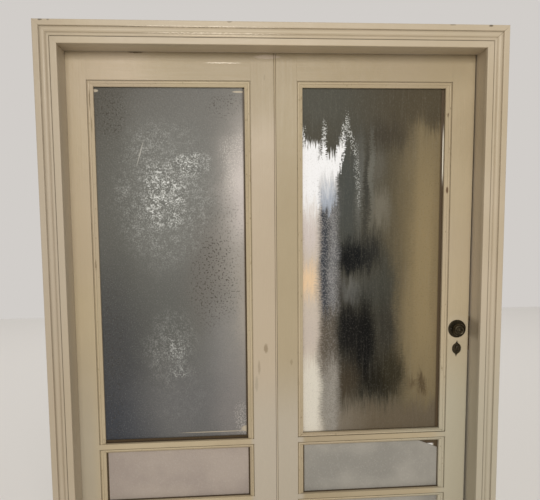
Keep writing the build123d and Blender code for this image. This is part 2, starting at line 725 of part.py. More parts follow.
def lock():
    """Mortise lock in the right leaf, with its knobs, roses and escutcheons."""
    y0, y1 = leaf_mid - case_t / 2, leaf_mid + case_t / 2
    back = faceplate_x - faceplate_t
    w, c = case_wall, case_clear
    case = block(case_x, back, y0, y1, case_low, case_top)
    case -= block(case_x + w, back, y0 + w, y1 - w, case_low + w, case_top - w)
    case -= rod((knob_x, y0, knob_z), (knob_x, y1, knob_z), hub_r + hub_clear)
    nodes["lock_case"] = case - keyhole(y0, y1)
    half_w = faceplate_w / 2
    plate = block(back, faceplate_x, leaf_mid - half_w, leaf_mid + half_w, faceplate_low, faceplate_top)
    plate -= bolt_way(back, faceplate_x, latch_t, latch_h, latch_z)
    plate -= bolt_way(back, faceplate_x, dead_t, dead_h, dead_z)
    nodes["lock_faceplate"] = plate
    wood = nodes["right_lock_stile"]
    wood -= block(case_x - c, back, y0 - c, y1 + c, case_low - c, case_top + c)
    wood -= block(back, lock_x_top, leaf_mid - half_w, leaf_mid + half_w, faceplate_low, faceplate_top)
    wood -= rod((knob_x, leaf_front, knob_z), (knob_x, wall_back, knob_z), bore_r)
    nodes["right_lock_stile"] = wood - keyhole(leaf_front, wall_back, keyhole_clear)
    on_faces("rose", rose(), knob_z)
    on_faces("knob", knob(), knob_z)
    on_faces("escutcheon", escutcheon(), escutcheon_z, escutcheon_lean)
    cut = keyhole(leaf_front - escutcheon_t, wall_back + escutcheon_t)
    nodes["front_escutcheon"] -= cut
    nodes["back_escutcheon"] -= cut
    reach = boss_t / 2 + knob_socket - socket_end
    s = spindle_s / 2
    nodes["spindle"] = block(knob_x - s, knob_x + s, leaf_front - reach, wall_back + reach,
                             knob_z - s, knob_z + s)
    nodes["lock_follower"] = follower()
    nodes["latch_bolt"] = latch_bolt()
    nodes["dead_bolt"] = dead_bolt()
    ends = (faceplate_low + faceplate_over / 2, faceplate_top - faceplate_over / 2)
    fasten("right_leaf_screws", [((faceplate_x, leaf_mid, z), (-1, 0, 0)) for z in ends],
           ["lock_faceplate", "right_lock_stile"])
    fix_trim()


def fix_trim():
    """Small screws that hold the roses and the escutcheons to the leaf."""
    ring_r = (boss_r + rose_r - rose_rim_w) / 2
    lean = math.radians(escutcheon_lean)
    for name, y, way, turn in (("front", leaf_front, 1, lean), ("back", wall_back, -1, 0.0)):
        ring_y = y - way * rose_t
        ring = [((knob_x + side * ring_r, ring_y, knob_z), (0, way, 0)) for side in (-1, 1)]
        fasten("right_leaf_screws", ring, [f"{name}_rose", "right_lock_stile"], small_screw)
        plate_y = y - way * escutcheon_t
        dx = escutcheon_screw_z * math.sin(turn)
        dz = escutcheon_screw_z * math.cos(turn)
        tips = [((knob_x + side * dx, plate_y, escutcheon_z + side * dz), (0, way, 0))
                for side in (-1, 1)]
        fasten("right_leaf_screws", tips, [f"{name}_escutcheon", "right_lock_stile"], tiny_screw)


def strike():
    """Strike plate in the right lining, with sockets for the two bolts behind it."""
    x0 = right_face
    x1 = x0 + strike_t
    low = dead_z - dead_h / 2 - strike_over
    top = latch_z + latch_h / 2 + strike_over
    plate = block(x0, x1, leaf_mid - strike_w / 2, leaf_mid + strike_w / 2, low, top)
    wood = nodes["lining_right"] - plate
    for t, h, z in ((latch_t, latch_h, latch_z), (dead_t, dead_h, dead_z)):
        plate -= bolt_way(x0, x1, t, h, z)
        wood -= bolt_way(x1, x0 + socket_d, t, h, z)
    nodes["strike_plate"] = plate
    nodes["lining_right"] = wood
    ends = (low + strike_over / 2, top - strike_over / 2)
    fasten("frame_screws", [((x0, leaf_mid, z), (1, 0, 0)) for z in ends],
           ["strike_plate", "lining_right"])


def flush_bolt(name, end_z, way):
    """A flush bolt in the left leaf: way is 1 for the one that shoots up and -1 for the other."""
    def span(a, b):
        return sorted((end_z - way * a, end_z - way * b))

    middle = plate_in + plate_h / 2
    r = rod_r + rod_clear
    z0, z1 = span(plate_in, plate_in + plate_h)
    plate = block(rod_x - plate_w / 2, rod_x + plate_w / 2, wall_back - plate_t, wall_back, z0, z1)
    p0, p1 = span(plate_in + plate_land, plate_in + plate_h - plate_land)
    h0, h1 = span(0, middle)
    wood = nodes["left_meeting_stile"] - plate
    wood -= block(rod_x - r, rod_x + r, rod_y - r, wall_back - plate_t, p0, p1)
    nodes["left_meeting_stile"] = wood - rod((rod_x, rod_y, h0), (rod_x, rod_y, h1), r)
    s0, s1 = span(middle - rod_throw - thumb_neck, middle + thumb_neck)
    plate -= block(rod_x - slot_w / 2, rod_x + slot_w / 2, wall_back - plate_t, wall_back, s0, s1)
    nodes.setdefault("bolt_plates", []).append(plate)
    b0, b1 = span(rod_back, rod_back + rod_len)
    bolt = rod((rod_x, rod_y, b0), (rod_x, rod_y, b1), rod_r)
    n0, n1 = span(middle - thumb_neck / 2, middle + thumb_neck / 2)
    thumb_y = wall_back + thumb_out
    bolt += block(rod_x - thumb_neck / 2, rod_x + thumb_neck / 2, rod_y, thumb_y, n0, n1)
    thumb_z = (n0 + n1) / 2
    bolt += rod((rod_x, thumb_y, thumb_z), (rod_x, thumb_y + thumb_t, thumb_z), thumb_r)
    nodes[name] = bolt
    ends = (z0 + plate_land / 2, z1 - plate_land / 2)
    screw_x = rod_x + plate_screw_x
    fasten("left_leaf_screws", [((screw_x, wall_back, z), (0, -1, 0)) for z in ends],
           ["bolt_plates", "left_meeting_stile"])


def flush_bolts():
    """Flush bolts at the head and foot of the left leaf, and the keeper in the head lining."""
    flush_bolt("top_bolt", leaf_top, 1)
    flush_bolt("bottom_bolt", floor_gap, -1)
    z0 = head_face
    keeper = block(rod_x - keeper_l / 2, rod_x + keeper_l / 2, rod_y - keeper_w / 2,
                   rod_y + min(keeper_w / 2, rod_in), z0, z0 + keeper_t)
    r = rod_r + keeper_clear
    hole = block(rod_x - r, rod_x + r, rod_y - r, rod_y + r, z0, z0 + rod_throw)
    nodes["lining_head"] = nodes["lining_head"] - keeper - hole
    nodes["bolt_keeper"] = keeper - hole
    inset = keeper_l / 2 - 2 * head_r
    fasten("frame_screws", [((rod_x + dx, rod_y, z0), (0, 0, 1)) for dx in (-inset, inset)],
           ["bolt_keeper", "lining_head"])


def build():
    """Make every node and write it."""
    frame()
    leaves()
    hinges()
    lock()
    strike()
    flush_bolts()
    os.makedirs("parts", exist_ok=True)
    for name, shape in nodes.items():
        pieces = shape if isinstance(shape, list) else [shape]
        solids = [solid for piece in pieces for solid in piece.solids()]
        whole = Compound(label=name, children=solids) if len(solids) > 1 else solids[0]
        export_step(whole, f"parts/{name}.step")
    print(len(nodes), "nodes")


build()
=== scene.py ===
# %% [markdown]
# # A pair of glazed doors in their frame
#
# The doors are already built as solids, and this lesson dresses them: old cream paint that has
# been brushed on many times, textured glass, a dark turned knob and dull metal fittings. Every
# cell makes one thing and prints what it made. Lengths are metres, x runs to the right, y away
# from the viewer and z up, in the same frame as the solids.

# %% Load the frame
import json
import math

import bpy
import numpy as np
from mathutils import Matrix, Vector


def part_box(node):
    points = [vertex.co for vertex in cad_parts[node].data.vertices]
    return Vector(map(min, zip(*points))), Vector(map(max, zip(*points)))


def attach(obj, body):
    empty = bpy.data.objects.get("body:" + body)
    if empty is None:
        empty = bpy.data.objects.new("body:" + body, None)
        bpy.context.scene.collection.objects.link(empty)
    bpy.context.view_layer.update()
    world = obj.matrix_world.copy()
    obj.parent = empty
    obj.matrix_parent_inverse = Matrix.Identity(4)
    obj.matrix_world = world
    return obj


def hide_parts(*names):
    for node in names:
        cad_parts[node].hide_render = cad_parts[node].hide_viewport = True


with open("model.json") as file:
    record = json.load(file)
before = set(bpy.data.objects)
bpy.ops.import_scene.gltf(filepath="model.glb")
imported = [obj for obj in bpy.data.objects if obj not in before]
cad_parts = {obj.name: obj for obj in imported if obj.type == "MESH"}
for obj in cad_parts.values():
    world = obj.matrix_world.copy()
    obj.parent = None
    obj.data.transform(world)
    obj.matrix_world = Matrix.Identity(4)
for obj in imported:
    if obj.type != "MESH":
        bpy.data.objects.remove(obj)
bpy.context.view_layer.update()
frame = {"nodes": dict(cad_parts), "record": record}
nodes = frame["nodes"]

# %% [markdown]
# ## The camera
#
# The doors were photographed from slightly left of the middle, from about eye height, with the
# camera turned a little to the right and a little down. A camera object needs a place, a focal
# length and three directions: right, up and away from what it looks at. Building the directions
# from the three turns keeps each one readable, and the roll stays a value of its own.

# %% Camera at the photograph's angle
EYE = Vector((-0.1919, -2.1912, 1.5957))
TURN_RIGHT = math.radians(4.32)
TILT_DOWN = math.radians(5.62)
ROLL = math.radians(-0.444)
LENS_MM = 39.44
SENSOR_WIDTH_MM = 36.0

look = Vector((math.sin(TURN_RIGHT) * math.cos(TILT_DOWN),
               math.cos(TURN_RIGHT) * math.cos(TILT_DOWN),
               -math.sin(TILT_DOWN)))
level_right = Vector((math.cos(TURN_RIGHT), -math.sin(TURN_RIGHT), 0))
right = math.cos(ROLL) * level_right + math.sin(ROLL) * level_right.cross(look)
up = right.cross(look)
camera = bpy.data.objects.new("camera", bpy.data.cameras.new("camera"))
camera.data.lens = LENS_MM
camera.data.sensor_width = SENSOR_WIDTH_MM
camera.matrix_world = Matrix.Translation(EYE) @ Matrix((right, up, -look)).transposed().to_4x4()
bpy.context.scene.collection.objects.link(camera)
bpy.context.scene.camera = camera
print("camera looks along", [round(v, 3) for v in look])

# %% [markdown]
# ## Surfaces from grids
#
# The new pieces are panes, and each face of a pane is a surface of two parameters. Its points
# are worked out as one whole array of rows and columns, and one helper turns any such array into
# a mesh. Another numbers the corners of the faces, one face for each cell of the grid. A third
# turns a colour as the eye reads it into the amounts of light that Blender mixes.

# %% Helpers for meshes


def mesh_object(name, points, faces, body):
    """An object from an array of points and an array of faces, riding on a body of the frame."""
    mesh = bpy.data.meshes.new(name)
    mesh.from_pydata(points.reshape(-1, 3).tolist(), [], faces.tolist())
    mesh.validate()
    thing = bpy.data.objects.new(name, mesh)
    bpy.context.scene.collection.objects.link(thing)
    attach(thing, body)
    return thing


def grid_faces(rows, columns):
    """Four-cornered faces between neighbours of a grid: point number = row x columns + column."""
    row, column = np.meshgrid(np.arange(rows - 1), np.arange(columns - 1), indexing="ij")
    corner = row * columns + column
    faces = np.stack([corner, corner + 1, corner + columns + 1, corner + columns], axis=-1)
    return faces.reshape(-1, 4)


def linear(red, green, blue):
    """A colour as the eye reads it, 0 to 255, as the light values that Blender mixes."""
    c = np.array([red, green, blue]) / 255
    c = np.where(c <= 0.04045, c / 12.92, ((c + 0.055) / 1.055) ** 2.4)
    return (*c.tolist(), 1.0)


print("a grid of 3 by 4 points has", len(grid_faces(3, 4)), "faces, and the eye's middle grey is",
      round(linear(128, 128, 128)[0], 3), "of the light of white")

# %% [markdown]
# ## Mixing materials
#
# A material is a small graph of nodes. A helper class keeps the graph readable: one method per
# kind of step, each giving back a socket that the next step can use. Patterns read Object
# coordinates, which here are metres in the frame of the whole part, so that a stain can be put
# at a real place on the door.

# %% Steps of a material


class Steps:
    """A material's graph while it is being built, one step after the other."""

    def __init__(self, name):
        self.material = bpy.data.materials.new(name)
        self.material.use_nodes = True
        self.tree = self.material.node_tree
        self.surface = self.tree.nodes["Principled BSDF"]
        self.place = self.tree.nodes.new("ShaderNodeTexCoord").outputs["Object"]
        split = self.tree.nodes.new("ShaderNodeSeparateXYZ")
        self.tree.links.new(self.place, split.inputs[0])
        self.x, self.y, self.z = split.outputs

    def give(self, socket, value):
        """Link a socket, or set a plain value on it."""
        if isinstance(value, bpy.types.NodeSocket):
            self.tree.links.new(value, socket)
        else:
            socket.default_value = value

    def reckon(self, operation, a, b):
        """One step of arithmetic on two numbers."""
        node = self.tree.nodes.new("ShaderNodeMath")
        node.operation = operation
        self.give(node.inputs[0], a)
        self.give(node.inputs[1], b)
        return node.outputs[0]

    def times(self, first, *others):
        """The product of shares."""
        for other in others:
            first = self.reckon("MULTIPLY", first, other)
        return first

    def either(self, first, *others):
        """The largest of several shares."""
        for other in others:
            first = self.reckon("MAXIMUM", first, other)
        return first

    def ramp(self, value, low, high, out_low=0.0, out_high=1.0):
        """A smooth step: out_low below low, out_high above high."""
        node = self.tree.nodes.new("ShaderNodeMapRange")
        node.interpolation_type = "SMOOTHSTEP"
        for number, entry in enumerate((value, low, high, out_low, out_high)):
            self.give(node.inputs[number], entry)
        return node.outputs[0]

    def blend(self, share, first, second):
        """first where share is 0, second where it is 1."""
        node = self.tree.nodes.new("ShaderNodeMix")
        node.data_type = "RGBA"
        self.give(node.inputs["Factor"], share)
        self.give(node.inputs["A"], first)
        self.give(node.inputs["B"], second)
        return node.outputs["Result"]

    def finish(self, colour, roughness, **settings):
        """Set the surface's own sockets."""
        self.give(self.surface.inputs["Base Color"], colour)
        self.give(self.surface.inputs["Roughness"], roughness)
        for name, value in settings.items():
            self.give(self.surface.inputs[name.replace("_", " ")], value)
        return self.material


def steps_of(kind):
    """The names of the steps that one class adds."""
    return ", ".join(name for name in vars(kind) if not name.startswith("_"))


print("plain steps:", steps_of(Steps))

# %% [markdown]
# Random patterns give colour, gloss and relief their unevenness. Two more steps read the shape
# itself: one finds creases, where dirt gathers and shade is painted, and one makes edges look a
# little rounded.

# %% Steps for patterns and relief


class Patterns(Steps):
    """Steps for random tones, creases, rounded edges and relief."""

    def stretch(self, scale):
        """Object coordinates with each axis scaled, for patterns that run one way."""
        node = self.tree.nodes.new("ShaderNodeMapping")
        self.give(node.inputs["Vector"], self.place)
        node.inputs["Scale"].default_value = scale
        return node.outputs[0]

    def noise(self, scale, detail=3.0, roughness=0.5):
        """Soft random tones, about 0.5 on the whole, with scale waves to a metre on each axis."""
        node = self.tree.nodes.new("ShaderNodeTexNoise")
        self.give(node.inputs["Vector"], self.stretch(scale))
        node.inputs["Scale"].default_value = 1.0
        node.inputs["Detail"].default_value = detail
        node.inputs["Roughness"].default_value = roughness
        return node.outputs["Fac"]

    def cells(self, scale, feature="F1"):
        """Distance to the nearest of many scattered points, or to the lines between them."""
        node = self.tree.nodes.new("ShaderNodeTexVoronoi")
        node.feature = feature
        self.give(node.inputs["Vector"], self.stretch(scale))
        node.inputs["Scale"].default_value = 1.0
        return node.outputs["Distance"]

    def creases(self, reach):
        """0 on open faces, towards 1 in corners and grooves."""
        node = self.tree.nodes.new("ShaderNodeAmbientOcclusion")
        node.samples = 8
        node.inputs["Distance"].default_value = reach
        return self.reckon("SUBTRACT", 1.0, node.outputs["AO"])

    def rounded(self, radius):
        """Normals of the surface as if its edges were rounded a little."""
        node = self.tree.nodes.new("ShaderNodeBevel")
        node.samples = 4
        node.inputs["Radius"].default_value = radius
        return node.outputs[0]

    def bump(self, height, depth, normal=None):
        """Small relief from a height, its depth in metres."""
        node = self.tree.nodes.new("ShaderNodeBump")
        node.inputs["Distance"].default_value = depth
        self.give(node.inputs["Height"], height)
        if normal is not None:
            self.give(node.inputs["Normal"], normal)
        return node.outputs[0]


print("steps for patterns and relief:", steps_of(Patterns))

# %% [markdown]
# Wear, dirt and the tones of the panes sit at real places of the doors. The last steps draw soft
# ellipses and bands at a given x and z. A wander in both directions makes their edges ragged.

# %% Steps that know places on the doors


class Mix(Patterns):
    """A material whose patterns sit at places on the face of the doors."""

    def shake(self, amount, scale_x, scale_z):
        """Let what is drawn after this wander by up to half of amount, in x and in z."""
        for axis, reach, scale in zip("xz", amount, (scale_x, scale_z)):
            shift = self.times(self.reckon("SUBTRACT", self.noise(scale, detail=2), 0.5), reach)
            setattr(self, axis, self.reckon("ADD", getattr(self, axis), shift))

    def reach(self, x, z, half_x, half_z, slant=0.0):
        """Square of the distance from a place on the doors: 1 on an ellipse with these half sizes.

        slant moves the ellipse sideways by that many metres for each metre up.
        """
        up_by = self.reckon("SUBTRACT", self.z, z)
        side = self.reckon("SUBTRACT", self.reckon("SUBTRACT", self.x, x), self.times(up_by, slant))
        across = self.reckon("DIVIDE", side, half_x)
        along = self.reckon("DIVIDE", up_by, half_z)
        return self.reckon("ADD", self.times(across, across), self.times(along, along))

    def patch(self, x, z, half_x, half_z, soft=0.5, slant=0.0):
        """1 inside an upright ellipse on the face of the doors, fading out over its rim."""
        return self.ramp(self.reach(x, z, half_x, half_z, slant), 1.0 - soft, 1.0 + soft, 1.0, 0.0)

    def spots(self, places):
        """The largest share of several patches: each place, and how strongly it counts."""
        return self.either(*(self.times(self.patch(*place), share) for place, share in places))

    def glow(self, x, z, half_x, half_z):
        """1 in the middle of an ellipse, 0.45 on it and nearly nothing at twice its size.

        The share is 0.45 to the power of the distance cubed, and reach gives the distance squared.
        """
        cube = self.reckon("POWER", self.reach(x, z, half_x, half_z), 1.5)
        return self.reckon("POWER", 0.45, cube)

    def band(self, value, low, high, soft):
        """1 between two values, fading over soft at both ends."""
        rise = self.ramp(value, low - soft / 2, low + soft / 2)
        return self.times(rise, self.ramp(value, high - soft / 2, high + soft / 2, 1.0, 0.0))


print("steps that know places:", steps_of(Mix))

# %% [markdown]
# ## Old cream paint
#
# The woodwork has many coats of oil paint. Seen close, each coat left brush marks along the board,
# dirt and painted shade darken the grooves and beside the beads, and the cream has yellowed and
# greyed in large soft patches. All boards share one recipe. Only the way of the brush and the base
# tones differ, because a painter follows the wood, up and down on stiles and jambs and across on
# rails, and because the leaves have yellowed more than the frame.

# %% Tones of the paint
FRAME_TONES = (linear(196, 182, 160), linear(184, 169, 143))
LEAF_TONES = (linear(192, 177, 148), linear(180, 164, 135))
FRAME_PINK = linear(189, 176, 155)
LEAF_PINK = linear(188, 172, 150)
GRIME_AND_SHADE = linear(96, 80, 56)
BARE_SHADED_REBATE = linear(84, 70, 52)
BRUSH_UP = (330.0, 330.0, 5.0)
BRUSH_ACROSS = (5.0, 330.0, 330.0)
BRUSH_ON_BEADS = (120.0, 330.0, 120.0)
LEAF_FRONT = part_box("right_meeting_stile")[0].y
PANE_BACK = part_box("right_glass")[1].y
print("the leaves' fronts are at y", round(LEAF_FRONT, 4), "and the panes' backs at",
      round(PANE_BACK, 4))

# %% [markdown]
# The recipe lays layer over layer, as the years did: two creams in large patches, a pinkish tone,
# brush marks, the wear and the painted light and shade of this kind of board, grime and painted
# shade in narrow and in wide creases and a few specks. The relief is low lumps under the brush
# marks, and edges look a little rounded.

# %% Recipe of the paint
LARGE_PATCHES = (2.1, 2.1, 1.4)
PINK_PATCHES = (1.3, 3.0, 0.9)
UNEVEN_DIRT_AND_SHADE = (14.0, 14.0, 9.0)
SPECKS = (90.0, 90.0, 60.0)
SPECKLED_AREAS = (9.0, 9.0, 9.0)
LUMPS = (26.0, 26.0, 18.0)
NARROW_CREASE = 0.009
WIDE_CREASE = 0.03
LUMP_HEIGHT = 0.0014
EDGE_RADIUS = 0.0014
BRUSH_MARK_HEIGHT = 0.0005


def paint(name, brush, tones, pink, wear_and_light, crease_darkening=0.6):
    """Cream paint with brush marks along the board, worn places, painted light and shade at places,
    and dirt and painted shade in the creases.

    The function given for the board adds what is worn on it and the painted light and shade there,
    and keeps on the mix the share that the darkened creases leave alone.
    """
    mix = Mix(name)
    mix.clean = 0.0
    patches = mix.noise(LARGE_PATCHES, detail=4)
    tone = mix.blend(mix.ramp(patches, 0.35, 0.65), *tones)
    tone = mix.blend(mix.ramp(mix.noise(PINK_PATCHES, detail=2), 0.45, 0.7), tone, pink)
    marks = mix.noise(brush, detail=5, roughness=0.6)
    tone = mix.blend(mix.ramp(marks, 0.3, 0.75, 0.0, 0.25), tone, tones[1])
    tone = wear_and_light(mix, tone)
    # Dirt and painted shade: the narrow and the wide creases are darkened.
    narrow = mix.ramp(mix.creases(NARROW_CREASE), 0.3, 0.85)
    wide = mix.ramp(mix.creases(WIDE_CREASE), 0.35, 0.95)
    uneven = mix.ramp(mix.noise(UNEVEN_DIRT_AND_SHADE, detail=4), 0.3, 0.7, 0.5, 1.0)
    uneven = mix.times(uneven, mix.reckon("SUBTRACT", 1.0, mix.clean))
    tone = mix.blend(mix.times(narrow, uneven, crease_darkening), tone, GRIME_AND_SHADE)
    tone = mix.blend(mix.times(wide, uneven, 0.22), tone, GRIME_AND_SHADE)
    specks = mix.ramp(mix.cells(SPECKS), 0.03, 0.07, 1.0, 0.0)
    sparse = mix.ramp(mix.noise(SPECKLED_AREAS, detail=1), 0.6, 0.66)
    tone = mix.blend(mix.times(specks, sparse, 0.45), tone, GRIME_AND_SHADE)
    lumps = mix.bump(mix.noise(LUMPS, detail=3), LUMP_HEIGHT, mix.rounded(EDGE_RADIUS))
    relief = mix.bump(marks, BRUSH_MARK_HEIGHT, lumps)
    gloss = mix.ramp(marks, 0.2, 0.8, 0.27, 0.4)
    return mix.finish(tone, gloss, Normal=relief, Specular_IOR_Level=0.2)


print("relief of the paint in mm: lumps", round(LUMP_HEIGHT * 1000, 1), "and brush marks",
      round(BRUSH_MARK_HEIGHT * 1000, 1))

# %% [markdown]
# Small marks sit at real places. On the leaves they are a chip where the head rubs, an oval stain
# and short streaks at hand height, a scuff near the top and a painted highlight, a thin shine, on
# the left top rail. On the frame they are old nail heads along the top and painted highlights along
# the edges of the head's mouldings. Beads have chips. Each mark is an ellipse on the face of the
# doors, given by its place, its half width and half height, its colour and its strength, and a
# little noise makes its rim ragged.

# %% Small marks and painted highlights
LEAF_MARKS_AND_HIGHLIGHT = (
    ((-0.503, 2.0985, 0.027, 0.0030), linear(92, 80, 58), 0.85),
    ((-0.043, 0.998, 0.0075, 0.017), linear(138, 122, 98), 0.7),
    ((-0.070, 0.925, 0.005, 0.026), linear(150, 136, 116), 0.55),
    ((-0.080, 0.86, 0.006, 0.03), linear(156, 146, 128), 0.45),
    ((0.055, 0.942, 0.005, 0.011), linear(146, 132, 106), 0.6),
    ((-0.040, 2.012, 0.003, 0.010), linear(140, 126, 100), 0.5),
    ((-0.030, 2.086, 0.045, 0.007), linear(206, 190, 174), 0.6),
    # Painted highlight: a thin shine on the left top rail.
    ((-0.192, 2.0635, 0.060, 0.0018), linear(236, 224, 204), 0.85),
)
FRAME_MARKS_AND_HIGHLIGHTS = (
    ((-0.800, 2.1755, 0.007, 0.003), linear(92, 82, 68), 0.8),
    ((-0.773, 2.1760, 0.004, 0.003), linear(110, 100, 86), 0.6),
    ((0.618, 2.1760, 0.010, 0.003), linear(120, 106, 84), 0.6),
    ((0.757, 2.1750, 0.007, 0.004), linear(84, 72, 56), 0.8),
    ((-0.166, 2.1760, 0.008, 0.003), linear(120, 106, 84), 0.6),
    # Painted highlights: thin bright lines along the edges of the head's mouldings.
    ((-0.250, 2.1585, 0.260, 0.0013), linear(244, 232, 212), 0.85),
    ((-0.220, 2.1376, 0.230, 0.0013), linear(246, 236, 218), 0.85),
    ((-0.200, 2.1295, 0.210, 0.0016), linear(232, 218, 194), 0.5),
)
BEAD_MARKS = (
    ((0.655, 1.879, 0.0025, 0.007), linear(104, 84, 60), 0.8),
    ((0.657, 1.597, 0.0035, 0.012), linear(92, 62, 38), 0.85),
    ((-0.672, 1.93, 0.0018, 0.035), linear(110, 92, 62), 0.7),
    ((-0.668, 1.84, 0.0015, 0.028), linear(112, 94, 66), 0.6),
    ((-0.671, 1.33, 0.0018, 0.020), linear(104, 84, 54), 0.6),
    ((-0.118, 0.95, 0.0040, 0.075), linear(88, 68, 40), 0.8),
    ((-0.117, 0.79, 0.0025, 0.045), linear(96, 76, 48), 0.6),
)
RAGGED_ACROSS = (120.0, 120.0, 120.0)
RAGGED_UP = (135.0, 135.0, 135.0)


def marks_on(mix, tone, marks, raggedness=0.006):
    """Small marks and painted highlights at real places on the front, with ragged rims."""
    front = mix.ramp(mix.y, PANE_BACK - 0.001, PANE_BACK, 1.0, 0.0)
    mix.shake((raggedness, raggedness), RAGGED_ACROSS, RAGGED_UP)
    for place, colour, strength in marks:
        share = mix.times(mix.patch(*place, soft=0.7), front, strength)
        tone = mix.blend(share, tone, colour)
    return tone


print("marks on leaves, frame and beads:", [len(LEAF_MARKS_AND_HIGHLIGHT), len(FRAME_MARKS_AND_HIGHLIGHTS), len(BEAD_MARKS)])

# %% [markdown]
# The leaves also have large zones: the right one is darker with painted shade, the left meeting
# stile has a painted pinkish sheen, both meeting stiles are greyer low down, the hinge side turns
# bluish and the lock side greenish towards the foot, and the top has painted shade in a browner
# tone. Around the knob the paint is paler. The rebates that hold the panes are bare and dirty and
# painted dark as shade, with one painted highlight, a pale line, beside the right tall pane. Old
# paint fills the joint between the leaves at the top and low down, and there a lighter tone is
# painted over the shadow of the gap, painted light, so the joint shows only in between.

# %% Wear, painted light and painted shade of the leaves
LEFT_MEETING_STILE = (-0.095, 0.0)
BOTH_MEETING_STILES = (-0.1, 0.1)
BELOW_TOP = (1.82, 1.98, 1.0, 0.15)
LOW_DOWN = (0.65, 1.0, 0.8, 0.0)
RIGHT_LEAF = (-0.004, 0.004)
RIGHT_LEAF_FADES = (0.1, 0.75, 0.5, 0.1)
LEAF_FADES = (
    ((-0.72, -0.66, 1.0, 0.0), (0.6, 1.2, 0.45, 0.0), linear(172, 168, 158)),
    ((0.6, 0.68, 0.0, 1.0), (0.72, 1.12, 0.85, 0.0), linear(186, 180, 160)),
)
SHADED_TOP = (
    ((-0.14, 2.04, 0.30, 0.20, 0.9), 0.65),
    ((0.30, 2.06, 0.45, 0.11, 0.9), 0.55),
)
AROUND_KNOB = (0.7065, 1.057, 0.052, 0.052)
BEHIND_FACE = (LEAF_FRONT + 0.010, LEAF_FRONT + 0.014)
BEFORE_BACK = (PANE_BACK + 0.0002, PANE_BACK + 0.0008, 1.0, 0.0)
SLIT_HIGHLIGHT_ACROSS = (0.6440, 0.6482, 0.001)
SLIT_HIGHLIGHT_UP = (1.64, 1.82, 0.08)
JOINT = (-0.0030, 0.0024)
JOINT_FILLED_AND_LIT_HIGH = (1.80, 1.96, 0.25, 0.95)
JOINT_FILLED_AND_LIT_LOW = (0.76, 0.9, 0.7, 0.2)


def fades(mix, tone, places):
    """Tones that fade across and up: a smooth step in x, one in z, and a colour."""
    for in_x, in_z, colour in places:
        share = mix.times(mix.ramp(mix.x, *in_x), mix.ramp(mix.z, *in_z))
        tone = mix.blend(share, tone, colour)
    return tone


def leaf_wear_and_light(mix, tone):
    """Zones with painted shade and a painted sheen, the paler ring around the knob, rebates bare
    and in painted shade, a painted highlight line, painted light over the joint, and the marks.
    """
    below_top = mix.ramp(mix.z, *BELOW_TOP)
    # Painted shade: the right leaf is darker below the top.
    right_leaf_shade = mix.times(mix.ramp(mix.x, *RIGHT_LEAF), mix.ramp(mix.x, *RIGHT_LEAF_FADES), below_top)
    tone = mix.blend(right_leaf_shade, tone, linear(156, 142, 116))
    # A painted pinkish sheen on the left meeting stile.
    meeting_sheen = mix.times(mix.band(mix.x, *LEFT_MEETING_STILE, 0.01), below_top, 0.6)
    tone = mix.blend(meeting_sheen, tone, linear(186, 171, 153))
    low_down = mix.times(mix.ramp(mix.z, *LOW_DOWN), mix.band(mix.x, *BOTH_MEETING_STILES, 0.02))
    tone = mix.blend(low_down, tone, linear(186, 177, 162))
    tone = fades(mix, tone, LEAF_FADES)
    # Painted shade at the top, in a browner tone.
    tone = mix.blend(mix.spots(SHADED_TOP), tone, linear(152, 137, 110))
    tone = mix.blend(mix.times(mix.patch(*AROUND_KNOB), 0.5), tone, linear(200, 186, 160))
    # The rebates are bare and dirty, and they are painted dark as shade.
    shaded_rebate = mix.times(mix.ramp(mix.y, *BEHIND_FACE), mix.ramp(mix.y, *BEFORE_BACK))
    tone = mix.blend(shaded_rebate, tone, BARE_SHADED_REBATE)
    # Painted highlight: a pale line beside the right tall pane.
    slit_highlight = mix.times(mix.band(mix.x, *SLIT_HIGHLIGHT_ACROSS), mix.band(mix.z, *SLIT_HIGHLIGHT_UP), shaded_rebate)
    tone = mix.blend(slit_highlight, tone, linear(252, 246, 230))
    # Painted light: a lighter tone over the shadow of the joint, at the top and low down.
    joint = mix.band(mix.x, *JOINT, 0.0015)
    filled_and_lit = mix.either(mix.ramp(mix.z, *JOINT_FILLED_AND_LIT_HIGH), mix.ramp(mix.z, *JOINT_FILLED_AND_LIT_LOW))
    mix.clean = mix.either(mix.times(joint, mix.ramp(filled_and_lit, 0.0, 1.0, 0.7, 1.0)), slit_highlight)
    tone = mix.blend(mix.times(joint, filled_and_lit, 0.5), tone, linear(206, 190, 160))
    return marks_on(mix, tone, LEAF_MARKS_AND_HIGHLIGHT)


# The strip over the joint is painted lighter, painted light over the shadow of the gap.
print("old paint lies over the joint in a strip", round((JOINT[1] - JOINT[0]) * 1000, 1),
      "mm wide")

# %% [markdown]
# The frame is greyer on the left and low on the right. The jamb beside the knob is darker in a
# small patch, the gap beside the lock is painted dark as shade, and one mitre has cracked open.

# %% Wear, painted shade and highlights of the frame, wear of the beads, and every paint
FRAME_FADES = (((0.70, 0.74, 0.0, 1.0), (0.7, 1.3, 0.75, 0.0), linear(180, 173, 154)),)
BEAD_FADES = (((0.3, 0.68, 0.0, 1.0), (0.6, 1.1, 0.8, 0.0), linear(186, 180, 160)),)
GREYER_LEFT = (-0.86, -0.62, 0.55, 0.0)
BEHIND_CASING_FACE = (-0.080, -0.072)
BESIDE_KNOB_ACROSS = (0.751, 0.762)
BESIDE_KNOB_UP = (1.03, 1.1)
LOCK_GAP_SHADE_ACROSS = (0.7545, 0.7580)
LOCK_GAP_SHADE_DEEP = (LEAF_FRONT, 0.062)
LOCK_GAP_SHADE_UP = (1.2, 2.1, 0.97, 0.8)
MITRE_CRACK = (0.8004, 2.1505, 0.0012, 0.018, 0.5, 1.12)
BEAD_CHIPS = (160.0, 160.0, 55.0)


